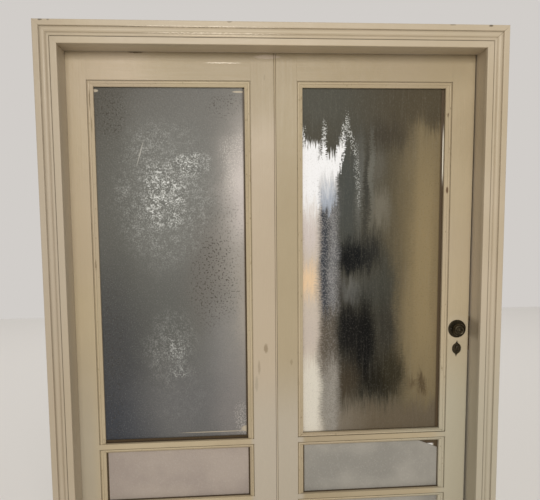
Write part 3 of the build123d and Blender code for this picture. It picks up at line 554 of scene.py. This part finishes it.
def frame_wear_and_light(mix, tone):
    """Greyer sides, a darker patch beside the knob, painted shade beside the lock, a crack in a
    mitre, and the marks with painted highlights.
    """
    tone = mix.blend(mix.ramp(mix.x, *GREYER_LEFT), tone, linear(172, 160, 143))
    tone = fades(mix, tone, FRAME_FADES)
    # The jamb beside the knob is darker in a small patch.
    beside_knob = mix.times(mix.ramp(mix.y, *BEHIND_CASING_FACE), mix.band(mix.x, *BESIDE_KNOB_ACROSS, 0.002),
                     mix.band(mix.z, *BESIDE_KNOB_UP, 0.03), 0.42)
    tone = mix.blend(beside_knob, tone, linear(104, 86, 58))
    # Painted shade: the gap beside the lock is painted dark.
    lock_gap_shade = mix.times(mix.band(mix.y, *LOCK_GAP_SHADE_DEEP, 0.003),
                    mix.band(mix.x, *LOCK_GAP_SHADE_ACROSS, 0.001), mix.ramp(mix.z, *LOCK_GAP_SHADE_UP))
    tone = mix.blend(lock_gap_shade, tone, linear(52, 34, 14))
    tone = mix.blend(mix.times(mix.patch(*MITRE_CRACK), 0.6), tone, linear(104, 88, 62))
    return marks_on(mix, tone, FRAME_MARKS_AND_HIGHLIGHTS)


def bead_wear(mix, tone):
    """Greyer beads low on the lock side, and chips: small all over, larger at real places."""
    tone = fades(mix, tone, BEAD_FADES)
    chips = mix.ramp(mix.noise(BEAD_CHIPS, detail=3), 0.66, 0.7)
    tone = mix.blend(mix.times(chips, 0.5), tone, linear(118, 100, 70))
    return marks_on(mix, tone, BEAD_MARKS, 0.003)


PAINTS = {
    "frame_up": paint("paint_frame_up", BRUSH_UP, FRAME_TONES, FRAME_PINK, frame_wear_and_light, crease_darkening=0.28),
    "frame_across": paint("paint_frame_across", BRUSH_ACROSS, FRAME_TONES, FRAME_PINK, frame_wear_and_light,
                          crease_darkening=0.34),
    "leaf_up": paint("paint_leaf_up", BRUSH_UP, LEAF_TONES, LEAF_PINK, leaf_wear_and_light),
    "leaf_across": paint("paint_leaf_across", BRUSH_ACROSS, LEAF_TONES, LEAF_PINK, leaf_wear_and_light),
    "bead": paint("paint_bead", BRUSH_ON_BEADS, LEAF_TONES, LEAF_PINK, bead_wear),
}
print("paints:", ", ".join(PAINTS))

# %% [markdown]
# A solid keeps its shape and only gets a better material. The name of a node says which way its
# board runs, so one short rule gives every board its paint.

# %% Paint the boards


def paint_for(name):
    """The paint of a wooden node, from its name."""
    if name.endswith("beads"):
        return PAINTS["bead"]
    part = "leaf" if name.endswith(("stile", "rail", "bar")) else "frame"
    way = "across" if name.endswith(("rail", "bar", "_head")) else "up"
    return PAINTS[f"{part}_{way}"]


slots = {entry["node"]: entry["material_slot"] for entry in frame["record"]["subparts"]}
painted = [name for name in nodes if slots[name] == "paint"]
for name in painted:
    nodes[name].data.materials.clear()
    nodes[name].data.materials.append(paint_for(name))
print(len(painted), "painted nodes")

# %% [markdown]
# ## Metal
#
# The knob, its rose and the escutcheon are dark, almost black, with a little brown and dull
# highlights where hands rub them. Hinges, screws and the lock are plain steel or brass, dulled by
# age. A metal is mostly its roughness: noise in the roughness makes it look handled. Dirt darkens
# the creases, and the keyhole is painted black, painted shade in its hollow.

# %% Metal recipes
KEYHOLE = (0.7068, 0.9795, 0.0030, 0.0120, 0.4)
METAL_PATCHES = (160.0, 160.0, 160.0)
METAL_CREASE = 0.004
METAL_RELIEF = 0.0003
METAL_EDGE_RADIUS = 0.0005


def metal(name, light, dark, smooth, rough):
    """Aged metal: two tones in small patches, an uneven polish, soiled creases and painted shade in
    the keyhole.
    """
    mix = Mix(name)
    patches = mix.noise(METAL_PATCHES, detail=4)
    tone = mix.blend(mix.ramp(patches, 0.35, 0.7), light, dark)
    creases = mix.ramp(mix.creases(METAL_CREASE), 0.3, 0.9, 0.0, 0.7)
    # Soiled creases, and painted shade: the keyhole is painted black.
    creases_and_keyhole_shade = mix.either(creases, mix.patch(*KEYHOLE))
    tone = mix.blend(creases_and_keyhole_shade, tone, linear(10, 8, 6))
    gloss = mix.ramp(patches, 0.3, 0.7, smooth, rough)
    relief = mix.bump(patches, METAL_RELIEF, mix.rounded(METAL_EDGE_RADIUS))
    return mix.finish(tone, gloss, Metallic=0.85, Normal=relief)


METALS = {
    "dark_bronze": metal("dark_bronze", linear(76, 68, 52), linear(50, 44, 32), 0.3, 0.5),
    "brass": metal("dull_brass", linear(178, 150, 100), linear(120, 98, 62), 0.32, 0.5),
    "steel": metal("dull_steel", linear(140, 136, 130), linear(96, 90, 84), 0.35, 0.55),
}
for name in nodes:
    if slots[name] in METALS:
        nodes[name].data.materials.clear()
        nodes[name].data.materials.append(METALS[slots[name]])
print("metals:", ", ".join(METALS))

# %% [markdown]
# ## Textured glass
#
# The panes are rolled glass: one face is smooth, the other was pressed by a patterned roller.
# What is behind shows only as soft tones. The relief is real geometry, a height for each point
# of a grid. The heights are random noise with only waves of one band of lengths left in it,
# which looks like the little pits of the glass.

# %% Relief by filtered noise
CELL = 0.005
PIT_DEPTH = 0.0003
SHORT_WAVE = 0.004
LONG_WAVE = 0.012


def rolled_relief(rows, columns, lean, seed):
    """White noise with only the waves from short to long kept, scaled to 0..1.

    lean above 1 draws the waves out along the rows' direction, which is up the pane.
    """
    noise = np.random.default_rng(seed).standard_normal((rows, columns))
    up_rate = np.fft.fftfreq(rows, CELL)[:, None] * lean
    side_rate = np.fft.rfftfreq(columns, CELL)[None, :]
    rate = np.hypot(up_rate, side_rate)
    kept = np.exp(-((rate * SHORT_WAVE) ** 2)) * (1 - np.exp(-((rate * LONG_WAVE) ** 2)))
    height = np.fft.irfft2(np.fft.rfft2(noise) * kept, s=(rows, columns))
    low, high = np.percentile(height, [2, 98])
    return np.clip((height - low) / (high - low), 0, 1)


print("pits", round(PIT_DEPTH * 1000, 1), "mm deep on a grid of", round(CELL * 1000), "mm")

# %% [markdown]
# Each pane is a closed slab of exactly the size of the solid pane that it takes the place of. Its
# front is the relief, its back is flat, and a strip of faces around the rim joins the two. The
# right tall pane has its relief drawn out upwards, the others have it the same both ways.

# %% Panes


def pane(name, node, body, lean, seed):
    """A slab as large as the node's box: its front is sunk by the pits' depth times the relief."""
    low, high = (np.array(corner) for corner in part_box(node))
    columns, rows = np.ceil((high - low)[[0, 2]] / CELL).astype(int) + 1
    x, z = np.meshgrid(np.linspace(low[0], high[0], columns), np.linspace(low[2], high[2], rows))
    front = low[1] + PIT_DEPTH * rolled_relief(rows, columns, lean, seed)
    back = np.full_like(front, high[1])
    points = np.stack([np.stack([x, front, z], -1), np.stack([x, back, z], -1)])
    count = rows * columns
    face = grid_faces(rows, columns)
    rim = np.concatenate([np.arange(columns), np.arange(1, rows) * columns + columns - 1,
                          np.arange(columns - 2, -1, -1) + (rows - 1) * columns,
                          np.arange(rows - 2, 0, -1) * columns])
    after = np.roll(rim, -1)
    sides = np.stack([rim, rim + count, after + count, after], axis=-1)
    faces = np.concatenate([face, face[:, ::-1] + count, sides])
    thing = mesh_object(name, points, faces, body)
    thing.data.shade_smooth()
    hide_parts(node)
    return thing


panes = [
    pane("left_tall_pane", "left_glass", "left_leaf", lean=1.0, seed=3),
    pane("right_tall_pane", "right_glass", "right_leaf", lean=3.0, seed=4),
    pane("left_lower_pane", "left_lower_panel", "left_leaf", lean=1.0, seed=5),
    pane("right_lower_pane", "right_lower_panel", "right_leaf", lean=1.0, seed=5),
]
print("faces of the panes:", {thing.name: len(thing.data.polygons) for thing in panes})

# %% [markdown]
# The glass itself lets a little light through and blurs it, because its pits are finer than the
# grid. The broad tones of each pane are a painted view of what stands behind it and painted
# reflections. The left pane is a granular grey that darkens and turns bluish towards the lower
# left, pales towards its right edge with a painted reflection, and sparkles in two places with
# painted highlights. Each tone is laid down as a soft zone at a real place, one after the other, as
# a painter would block in a picture.

# %% Soft zones of the left tall pane: a painted view and reflections


def zones(mix, tone, places):
    """Lay soft ellipses of colour one over the other: place, colour and strength."""
    for place, colour, strength in places:
        tone = mix.blend(mix.times(mix.glow(*place), strength), tone, colour)
    return tone


# A painted view through the glass and painted reflections, as soft zones.
LEFT_PAINTED_VIEW = (
    ((-0.62, 1.95, 0.20, 0.30), linear(75, 70, 60), 0.9),
    ((-0.40, 1.95, 0.16, 0.20), linear(100, 98, 93), 0.8),
    ((-0.18, 1.90, 0.14, 0.14), linear(110, 108, 103), 0.8),
    ((-0.42, 1.58, 0.22, 0.30), linear(122, 123, 118), 0.7),
    ((-0.40, 1.12, 0.24, 0.22), linear(96, 97, 93), 0.8),
    ((-0.62, 1.30, 0.12, 0.55), linear(92, 92, 86), 0.7),
    ((-0.64, 0.90, 0.15, 0.36), linear(70, 71, 73), 0.9),
    ((-0.62, 0.65, 0.16, 0.20), linear(60, 64, 72), 0.9),
    ((-0.30, 0.76, 0.22, 0.18), linear(106, 106, 107), 0.75),
    ((-0.24, 1.28, 0.10, 0.22), linear(117, 113, 107), 0.7),
    ((-0.16, 1.00, 0.10, 0.20), linear(124, 124, 123), 0.8),
    ((-0.13, 0.78, 0.10, 0.26), linear(134, 130, 128), 0.8),
    ((-0.09, 1.44, 0.12, 0.46), linear(163, 158, 150), 0.85),
    ((-0.06, 1.61, 0.115, 0.22), linear(222, 213, 209), 0.85),
    ((-0.095, 1.12, 0.05, 0.24), linear(168, 160, 150), 0.85),
)
print(len(LEFT_PAINTED_VIEW), "soft zones on the left tall pane")

# %% [markdown]
# Over the zones lie small things of four kinds. Painted highlights sparkle in two clusters, as
# short curved strokes with a few brighter beads among them. Dark flecks are sprinkled near the
# right edge, in the upper corners and down the left edge. Frost-like grain whitens two spots at the
# right edge. Crumbs lie in corners and along the foot, and there is one scratch. For each kind a
# table gives the places, each by its x, z, half width, half height and softness, and how strongly
# each place counts.

# %% Small things on the left tall pane
CRUMBS = (
    ((-0.655, 1.966, 0.010, 0.005), 1.0),
    ((-0.135, 1.964, 0.022, 0.0035), 1.0),
    ((-0.118, 0.676, 0.022, 0.012), 1.0),
    ((-0.240, 0.667, 0.130, 0.0016), 1.0),
)
SPARKLING_HIGHLIGHTS = (
    ((-0.420, 1.590, 0.085, 0.140, 1.0), 1.0),
    ((-0.320, 1.705, 0.070, 0.045, 1.0), 1.0),
    ((-0.385, 0.970, 0.045, 0.080, 1.0), 0.55),
    ((-0.375, 0.915, 0.035, 0.030, 1.0), 0.7),
    ((-0.420, 1.590, 0.160, 0.230, 1.0), 0.4),
    ((-0.400, 1.000, 0.100, 0.130, 1.0), 0.25),
    ((-0.370, 0.830, 0.090, 0.120, 1.0), 0.1),
)
SPECKLED = (
    ((-0.235, 1.270, 0.090, 0.180, 0.9), 1.0),
    ((-0.600, 1.890, 0.055, 0.080, 0.9), 1.0),
    ((-0.190, 1.920, 0.060, 0.050, 0.9), 0.8),
    ((-0.210, 1.420, 0.090, 0.220, 0.9), 0.45),
    ((-0.630, 0.900, 0.050, 0.350, 0.8), 0.6),
)
FROSTY = (
    ((-0.130, 0.710, 0.030, 0.060, 0.9), 0.8),
    ((-0.150, 1.700, 0.050, 0.110, 0.95), 0.7),
)
SCRATCH = (-0.501, 1.740, 0.0020, 0.045, 0.6, 0.29)
print("places on the left tall pane:", {"crumbs": len(CRUMBS), "sparkling": len(SPARKLING_HIGHLIGHTS),
                                        "speckled": len(SPECKLED), "frosty": len(FROSTY)})

# %% [markdown]
# The finish is laid down in the same order: zones and grain first, then the sparkling clusters,
# the dark flecks, the frost, the scratch and the crumbs. Zones and clusters wander, so that no
# rim is smooth. The crumbs and the scratch are worked out before the wandering starts, and so
# they keep their places.

# %% The left tall pane
WANDER_SLOW = ((0.06, 0.08), (9.0, 9.0, 9.0), (10.0, 10.0, 10.0))
WANDER_QUICK = ((0.03, 0.03), (90.0, 90.0, 90.0), (100.0, 100.0, 100.0))
LEFT_GRAIN = (250.0, 250.0, 250.0)
WORMS = (185.0, 185.0, 185.0)
PITS = (120.0, 120.0, 120.0)
BRIGHT_BEADS = (105.0, 105.0, 105.0)
CLUSTER_TONES = (42.0, 42.0, 42.0)
CLUSTER_GAPS = (16.0, 16.0, 16.0)
DARK_FLECKS = (135.0, 135.0, 135.0)
PIT_RELIEF = 0.0004
GLASS_ROUGHNESS = 0.42
GLASS_LETS_THROUGH = 0.06


def sparkles(mix, tone, cluster):
    """Dark pits, and painted highlights as light strokes and bright beads, all kept inside the
    cluster.
    """
    worms = mix.noise(WORMS, detail=1)
    rims = mix.cells(PITS, "DISTANCE_TO_EDGE")
    broad = mix.noise(CLUSTER_TONES, detail=3)
    beads = mix.noise(BRIGHT_BEADS, detail=0)
    blobs = mix.times(mix.ramp(worms, 0.53, 0.64), mix.ramp(broad, 0.40, 0.58, 0.4, 1.0))
    strokes = mix.times(mix.ramp(rims, 0.04, 0.16, 0.45, 0.0), mix.ramp(broad, 0.46, 0.56))
    dark_pits = mix.times(mix.ramp(worms, 0.36, 0.47, 1.0, 0.0), cluster, 0.4)
    tone = mix.blend(dark_pits, tone, linear(76, 78, 74))
    # Painted highlights: the glints and the bright beads.
    glints = mix.times(mix.either(blobs, strokes), cluster, 0.85)
    tone = mix.blend(glints, tone, linear(226, 228, 224))
    bright_beads = mix.times(mix.ramp(beads, 0.66, 0.73), cluster, cluster, 0.8)
    return mix.blend(bright_beads, tone, linear(232, 234, 231))


def left_glass():
    """Granular grey glass with a painted view and reflections, and small sparkling pits with
    painted highlights.
    """
    mix = Mix("left_glass_painted_view")
    grain = mix.noise(LEFT_GRAIN, detail=3)
    crumbs = mix.spots(CRUMBS)
    scratch = mix.patch(*SCRATCH)
    mix.shake(*WANDER_SLOW)
    mix.shake(*WANDER_QUICK)
    tone = zones(mix, linear(110, 109, 105), LEFT_PAINTED_VIEW)
    tone = mix.blend(mix.ramp(grain, 0.5, 0.8, 0.0, 0.22), tone, linear(176, 174, 170))
    tone = mix.blend(mix.ramp(grain, 0.25, 0.45, 0.24, 0.0), tone, linear(60, 60, 59))
    gaps = mix.ramp(mix.noise(CLUSTER_GAPS, detail=2), 0.36, 0.54, 0.5, 1.0)
    tone = sparkles(mix, tone, mix.times(mix.spots(SPARKLING_HIGHLIGHTS), gaps))
    flecks = mix.ramp(mix.noise(DARK_FLECKS, detail=1), 0.35, 0.44, 1.0, 0.0)
    dots = mix.times(flecks, mix.spots(SPECKLED), 0.75)
    tone = mix.blend(dots, tone, linear(62, 55, 46))
    frost = mix.times(mix.ramp(grain, 0.5, 0.62), mix.spots(FROSTY), 0.6)
    tone = mix.blend(frost, tone, linear(226, 220, 212))
    tone = mix.blend(mix.times(scratch, 0.6), tone, linear(190, 188, 180))
    tone = mix.blend(mix.times(crumbs, 0.85), tone, linear(196, 184, 162))
    relief = mix.bump(mix.cells(PITS), PIT_RELIEF)
    return mix.finish(tone, GLASS_ROUGHNESS, Normal=relief, IOR=1.5, Specular_IOR_Level=0.14,
                      Transmission_Weight=GLASS_LETS_THROUGH)


left_painted_glass = left_glass()
print("made", left_painted_glass.name, "with", len(left_painted_glass.node_tree.nodes), "nodes")

# %% [markdown]
# The right pane has a painted view of what is behind it and painted reflections, drawn out into
# upright streaks: a dark band at the top, a white area on the left whose upper edge is jagged like
# flames, a peach and white strip below it, almost black in the middle, tan on the right and brown
# at the foot. The zones are laid down first and then the upright strips, which lie beside each
# other on the left half.

# %% Zones and strips of the right tall pane
# A painted view of what is behind the right pane, as soft zones.
RIGHT_PAINTED_VIEW = (
    ((0.590, 1.300, 0.130, 0.640), linear(149, 132, 98), 0.95),
    ((0.640, 1.300, 0.030, 0.600), linear(124, 108, 80), 0.6),
    ((0.465, 1.450, 0.065, 0.480), linear(84, 76, 58), 0.5),
    ((0.430, 1.820, 0.080, 0.070), linear(60, 53, 42), 0.75),
    ((0.610, 1.870, 0.030, 0.040), linear(66, 56, 42), 0.6),
    ((0.275, 1.590, 0.050, 0.230), linear(72, 75, 72), 0.9),
    ((0.385, 1.690, 0.030, 0.070), linear(104, 100, 90), 0.6),
    ((0.322, 1.600, 0.012, 0.170), linear(108, 108, 103), 0.6),
    ((0.348, 1.580, 0.010, 0.180), linear(52, 52, 48), 0.7),
    ((0.367, 1.660, 0.009, 0.170), linear(116, 116, 108), 0.6),
    ((0.402, 1.520, 0.035, 0.070), linear(120, 115, 102), 0.8),
    ((0.420, 1.220, 0.045, 0.160), linear(62, 63, 57), 0.85),
    ((0.300, 1.345, 0.090, 0.065), linear(20, 22, 23), 0.95),
    ((0.370, 1.370, 0.030, 0.060), linear(36, 36, 34), 0.7),
    ((0.290, 1.212, 0.036, 0.045), linear(104, 104, 101), 0.85),
    ((0.350, 1.220, 0.040, 0.060), linear(72, 73, 68), 0.7),
    ((0.280, 1.050, 0.050, 0.110), linear(26, 25, 24), 0.9),
    ((0.350, 1.010, 0.038, 0.170), linear(12, 12, 11), 0.97),
    ((0.430, 1.020, 0.040, 0.140), linear(48, 46, 40), 0.85),
    ((0.400, 0.855, 0.095, 0.075), linear(26, 22, 12), 0.92),
    ((0.460, 0.890, 0.040, 0.080), linear(48, 43, 28), 0.75),
    ((0.270, 0.850, 0.050, 0.090), linear(68, 58, 44), 0.8),
    ((0.285, 1.345, 0.060, 0.050), linear(10, 12, 13), 0.9),
    ((0.348, 0.985, 0.032, 0.150), linear(5, 5, 4), 0.95),
    ((0.280, 1.070, 0.040, 0.085), linear(17, 16, 15), 0.85),
    ((0.310, 1.020, 0.060, 0.130), linear(15, 14, 13), 0.8),
    ((0.578, 0.820, 0.018, 0.032), linear(70, 54, 36), 0.75),
    ((0.540, 0.845, 0.012, 0.022), linear(84, 68, 48), 0.6),
)
RIGHT_STRIPS = (
    (0.236, 0.262, 1.15, 1.27, linear(62, 60, 58), 0.7),
    (0.198, 0.236, 0.60, 1.18, linear(98, 90, 80), 0.85),
    (0.176, 0.240, 0.60, 0.93, linear(158, 153, 144), 0.85),
    (0.196, 0.236, 1.14, 1.58, linear(132, 132, 134), 0.85),
    (0.163, 0.197, 1.10, 1.57, linear(52, 58, 70), 0.92),
    (0.163, 0.200, 0.88, 1.12, linear(104, 94, 82), 0.85),
    (0.090, 0.166, 0.55, 1.60, linear(206, 194, 180), 1.0),
    (0.090, 0.160, 1.37, 1.50, linear(214, 204, 200), 0.9),
    (0.090, 0.158, 1.20, 1.30, linear(240, 208, 168), 0.9),
    (0.090, 0.160, 0.98, 1.12, linear(202, 190, 180), 0.8),
    (0.090, 0.172, 0.55, 0.94, linear(226, 221, 208), 0.92),
)
print(len(RIGHT_PAINTED_VIEW), "soft zones and", len(RIGHT_STRIPS), "strips on the right tall pane")

# %% [markdown]
# The ribs of the glass scatter every edge. Edges that run up get a shift to the side that changes
# quickly with height, and edges that run across get a shift up that changes quickly to the side.
# Zones, strips and white flames each get shifts of their own, so that they keep their places.

# %% The painted view of what lies behind the right tall pane
FINE_ACROSS = (70.0, 70.0, 240.0)
FINE_UP = (210.0, 210.0, 22.0)
ZONES_SLOW = ((0.05, 0.12), (22.0, 22.0, 5.0), (26.0, 26.0, 4.0))
ZONES_QUICK = ((0.035, 0.09), FINE_ACROSS, FINE_UP)
STRIPS_SLOW = ((0.035, 0.05), (16.0, 16.0, 9.0), (18.0, 18.0, 8.0))
STRIPS_QUICK = ((0.028, 0.12), FINE_ACROSS, FINE_UP)
SPECKLED_STRIP = ((0.166, 0.240, 0.03), (0.66, 1.56, 0.08))
FEWER_SPECKS_BELOW = (1.05, 1.25, 0.5, 1.0)
BROWN_FOOT = (0.70, 0.81, 1.0, 0.0)
DARK_HEAD = (1.80, 1.90)


def right_painted_view_behind(mix):
    """The painted view's soft zones, brown at the foot, and a dark band at the head."""
    mix.shake(*ZONES_SLOW)
    mix.shake(*ZONES_QUICK)
    tone = zones(mix, linear(74, 71, 60), RIGHT_PAINTED_VIEW)
    foot_tone = mix.blend(mix.ramp(mix.x, 0.24, 0.40), linear(124, 115, 101), linear(104, 93, 76))
    tone = mix.blend(mix.ramp(mix.z, *BROWN_FOOT), tone, foot_tone)
    head_tone = mix.blend(mix.ramp(mix.x, 0.2, 0.5), linear(78, 77, 68), linear(78, 70, 54))
    return mix.blend(mix.times(mix.ramp(mix.z, *DARK_HEAD), 0.9), tone, head_tone)


def right_strips(mix, tone, specks):
    """The upright strips of the painted view, and light and dark specks on the dark ones."""
    mix.shake(*STRIPS_SLOW)
    mix.shake(*STRIPS_QUICK)
    for left, right_end, foot, head, colour, strength in RIGHT_STRIPS:
        strip = mix.times(mix.band(mix.x, left, right_end, 0.042),
                          mix.band(mix.z, foot, head, 0.12), strength)
        tone = mix.blend(strip, tone, colour)
    across, along = SPECKLED_STRIP
    speckled = mix.times(mix.band(mix.x, *across), mix.band(mix.z, *along),
                         mix.ramp(mix.z, *FEWER_SPECKS_BELOW))
    light = mix.times(speckled, mix.ramp(specks, 0.5, 0.66), 0.36)
    tone = mix.blend(light, tone, linear(180, 178, 176))
    dark = mix.times(speckled, mix.ramp(specks, 0.34, 0.48, 1.0, 0.0), 0.36)
    return mix.blend(dark, tone, linear(54, 54, 56))


print("quick shifts to the side, in mm: zones", round(ZONES_QUICK[0][0] * 500, 1), "and strips",
      round(STRIPS_QUICK[0][0] * 500, 1))

# %% [markdown]
# The white area, a painted reflection, ends at the top in three narrow tongues. Their edges break
# up into grains, a bluish veil hangs below and sparks, painted glints, stand beside them. Fine
# streaks and grain go over everything.

# %% The right tall pane
FLAMES_QUICK = ((0.03, 0.14), FINE_ACROSS, FINE_UP)
WHITE_LEFT = ((0.05, 0.168, 0.02), (1.43, 1.60), (1.755, 1.785, 1.0, 0.0))
WHITE_RIGHT = ((0.10, 0.234, 0.02), (1.55, 1.68), (1.715, 1.745, 1.0, 0.0))
TONGUES = (
    ((0.103, 1.765, 0.010, 0.050, 0.4), 1.0),
    ((0.184, 1.750, 0.010, 0.060, 0.4), 1.0),
    ((0.244, 1.735, 0.015, 0.085, 0.4, 0.22), 1.0),
)
VEIL = (0.196, 1.580, 0.034, 0.055, 0.9)
SPARKS = (
    ((0.262, 1.825, 0.010, 0.050, 0.7, 0.3), 1.0),
    ((0.290, 1.790, 0.008, 0.080, 0.7, -0.24), 1.0),
    ((0.312, 1.660, 0.009, 0.120, 0.8, -0.06), 0.6),
    ((0.186, 1.815, 0.008, 0.040, 0.7), 1.0),
    ((0.104, 1.815, 0.009, 0.035, 0.7), 1.0),
)
STREAKS = (110.0, 110.0, 6.0)
RIGHT_GRAIN = (230.0, 230.0, 150.0)
RIGHT_SPECKS = (230.0, 230.0, 190.0)
RIBS = (160.0, 160.0, 60.0)
RIB_RELIEF = 0.0003


def right_flames(mix, tone, specks):
    """Painted reflections: white areas with a jagged upper edge, a bluish veil under them and
    sparks beside them.
    """
    mix.shake(*FLAMES_QUICK)
    whites = [mix.times(mix.band(mix.x, *across), mix.ramp(mix.z, *foot), mix.ramp(mix.z, *head))
              for across, foot, head in (WHITE_LEFT, WHITE_RIGHT)]
    shape = mix.either(*whites, mix.spots(TONGUES))
    broken = mix.either(mix.ramp(mix.z, 1.76, 1.80, 1.0, 0.0), mix.ramp(specks, 0.46, 0.56))
    # Painted reflections: the bluish veil, the white areas and the sparks.
    tone = mix.blend(mix.times(mix.patch(*VEIL), 0.75), tone, linear(186, 196, 212))
    tone = mix.blend(mix.times(shape, broken), tone, linear(250, 251, 254))
    sparks = mix.times(mix.spots(SPARKS), mix.ramp(specks, 0.48, 0.58), 0.8)
    return mix.blend(sparks, tone, linear(206, 208, 204))


def right_glass():
    """Glass with a painted view of what is behind it and painted reflections, drawn out into
    upright streaks.
    """
    mix = Mix("right_glass_painted_view")
    unshaken = mix.x, mix.z
    streaks = mix.noise(STREAKS, detail=3, roughness=0.6)
    grain = mix.noise(RIGHT_GRAIN, detail=3)
    specks = mix.noise(RIGHT_SPECKS, detail=1)
    tone = right_painted_view_behind(mix)
    mix.x, mix.z = unshaken
    tone = right_strips(mix, tone, specks)
    mix.x, mix.z = unshaken
    tone = right_flames(mix, tone, specks)
    tone = mix.blend(mix.ramp(streaks, 0.5, 0.8, 0.0, 0.1), tone, linear(150, 146, 132))
    tone = mix.blend(mix.ramp(grain, 0.28, 0.45, 0.14, 0.0), tone, linear(40, 38, 34))
    tone = mix.blend(mix.ramp(grain, 0.52, 0.75, 0.0, 0.16), tone, linear(132, 130, 120))
    relief = mix.bump(mix.noise(RIBS, detail=2), RIB_RELIEF)
    return mix.finish(tone, GLASS_ROUGHNESS, Normal=relief, IOR=1.5, Specular_IOR_Level=0.08,
                      Transmission_Weight=GLASS_LETS_THROUGH)


right_painted_glass = right_glass()
print("made", right_painted_glass.name, "with", len(right_painted_glass.node_tree.nodes), "nodes")

# %% [markdown]
# The small panels below are the same glass with a more even film: pinkish grey on the left and
# a cooler grey on the right.

# %% The small panels, and every finish on its pane
PANEL_FILM = (5.0, 5.0, 5.0)
PANEL_GRAIN = (170.0, 170.0, 170.0)
PANEL_PITS = (130.0, 130.0, 130.0)
PANEL_PIT_RELIEF = 0.0005


def panel_glass(name, light, dark):
    """Plain grey film, lightly grained."""
    mix = Mix(name)
    grain = mix.noise(PANEL_GRAIN, detail=3)
    tone = mix.blend(mix.ramp(mix.noise(PANEL_FILM), 0.35, 0.65), light, dark)
    tone = mix.blend(mix.ramp(grain, 0.5, 0.8, 0.0, 0.25), tone, linear(200, 194, 186))
    relief = mix.bump(mix.cells(PANEL_PITS), PANEL_PIT_RELIEF)
    return mix.finish(tone, GLASS_ROUGHNESS, Normal=relief, IOR=1.5, Specular_IOR_Level=0.2,
                      Transmission_Weight=GLASS_LETS_THROUGH)


finishes = {
    "left_tall_pane": left_painted_glass,
    "right_tall_pane": right_painted_glass,
    "left_lower_pane": panel_glass("left_panel_finish", light=linear(178, 166, 156),
                                   dark=linear(166, 154, 146)),
    "right_lower_pane": panel_glass("right_panel_finish", light=linear(168, 164, 156),
                                    dark=linear(150, 147, 140)),
}
for thing in panes:
    thing.data.materials.append(finishes[thing.name])
for side in ("left", "right"):
    middle = nodes[f"{side}_middle_panel"]
    middle.data.materials.clear()
    middle.data.materials.append(finishes[f"{side}_lower_pane"])
print("finishes on", ", ".join(finishes))

# %% [markdown]
# ## Studio
#
# A studio is a plain pale floor, a pale surround and soft light. The floor is one square that
# reaches far beyond the doors on every side.

# %% Floor
FLOOR_HALF = 5.5
floor_points = np.array([[-1, -1, 0], [1, -1, 0], [1, 1, 0], [-1, 1, 0]]) * FLOOR_HALF
floor_mesh = bpy.data.meshes.new("floor")
floor_mesh.from_pydata(floor_points.tolist(), [], [(0, 1, 2, 3)])
floor = bpy.data.objects.new("floor", floor_mesh)
bpy.context.scene.collection.objects.link(floor)
floor.data.materials.append(Steps("floor_finish").finish(linear(226, 223, 219), roughness=0.8))
print("floor", 2 * FLOOR_HALF, "m square")

# %% [markdown]
# The surround is shown to the camera as pale, but lights the scene more weakly, so that it
# doesn't wash the shadows out. Two backgrounds do this, and the kind of ray chooses between them.

# %% Surround
PALE = linear(209, 205, 201)
SURROUND_LIGHT = 0.40
world = bpy.data.worlds.new("surround")
world.use_nodes = True
sky = world.node_tree
seen = sky.nodes["Background"]
seen.inputs["Color"].default_value = PALE
lights_with = sky.nodes.new("ShaderNodeBackground")
lights_with.inputs["Color"].default_value = (1.0, 0.97, 0.93, 1.0)
lights_with.inputs["Strength"].default_value = SURROUND_LIGHT
either = sky.nodes.new("ShaderNodeMixShader")
sky.links.new(sky.nodes.new("ShaderNodeLightPath").outputs["Is Camera Ray"], either.inputs[0])
sky.links.new(lights_with.outputs[0], either.inputs[1])
sky.links.new(seen.outputs[0], either.inputs[2])
sky.links.new(either.outputs[0], sky.nodes["World Output"].inputs[0])
bpy.context.scene.world = world
print("the surround lights the scene with strength", SURROUND_LIGHT)

# %% [markdown]
# The main light is a wide panel in front of the doors, above eye height, so the faces are evenly
# lit and the jambs and the head, which it only grazes, stay darker. The mouldings of the head catch
# a little of its light near their middle, and thin highlights along them there are painted. A
# second panel overhead behind the doors keeps the floor there as pale as the surround.

# %% Light


def panel_light(name, place, target, size, power, colour):
    """A soft rectangular light at place that faces target."""
    data = bpy.data.lights.new(name, "AREA")
    data.shape = "RECTANGLE"
    data.size, data.size_y = size
    data.energy = power
    data.color = colour
    lamp = bpy.data.objects.new(name, data)
    lamp.location = place
    lamp.rotation_euler = (Vector(target) - Vector(place)).to_track_quat("-Z", "Y").to_euler()
    bpy.context.scene.collection.objects.link(lamp)
    return lamp


panel_light("front_light", place=(-0.1, -4.4, 2.8), target=(0.0, 0.0, 1.25), size=(2.4, 1.2),
            power=125, colour=(1.0, 0.97, 0.92))
panel_light("back_light", place=(0.0, 4.0, 4.5), target=(0.0, 4.0, 0.0), size=(12.0, 6.0),
            power=205, colour=(1.0, 0.98, 0.96))
scene_look = bpy.context.scene.view_settings
scene_look.view_transform = "Standard"
scene_look.look = "None"

# %% [markdown]
# ## Sizes
#
# The dressed doors must not be larger than the solids.
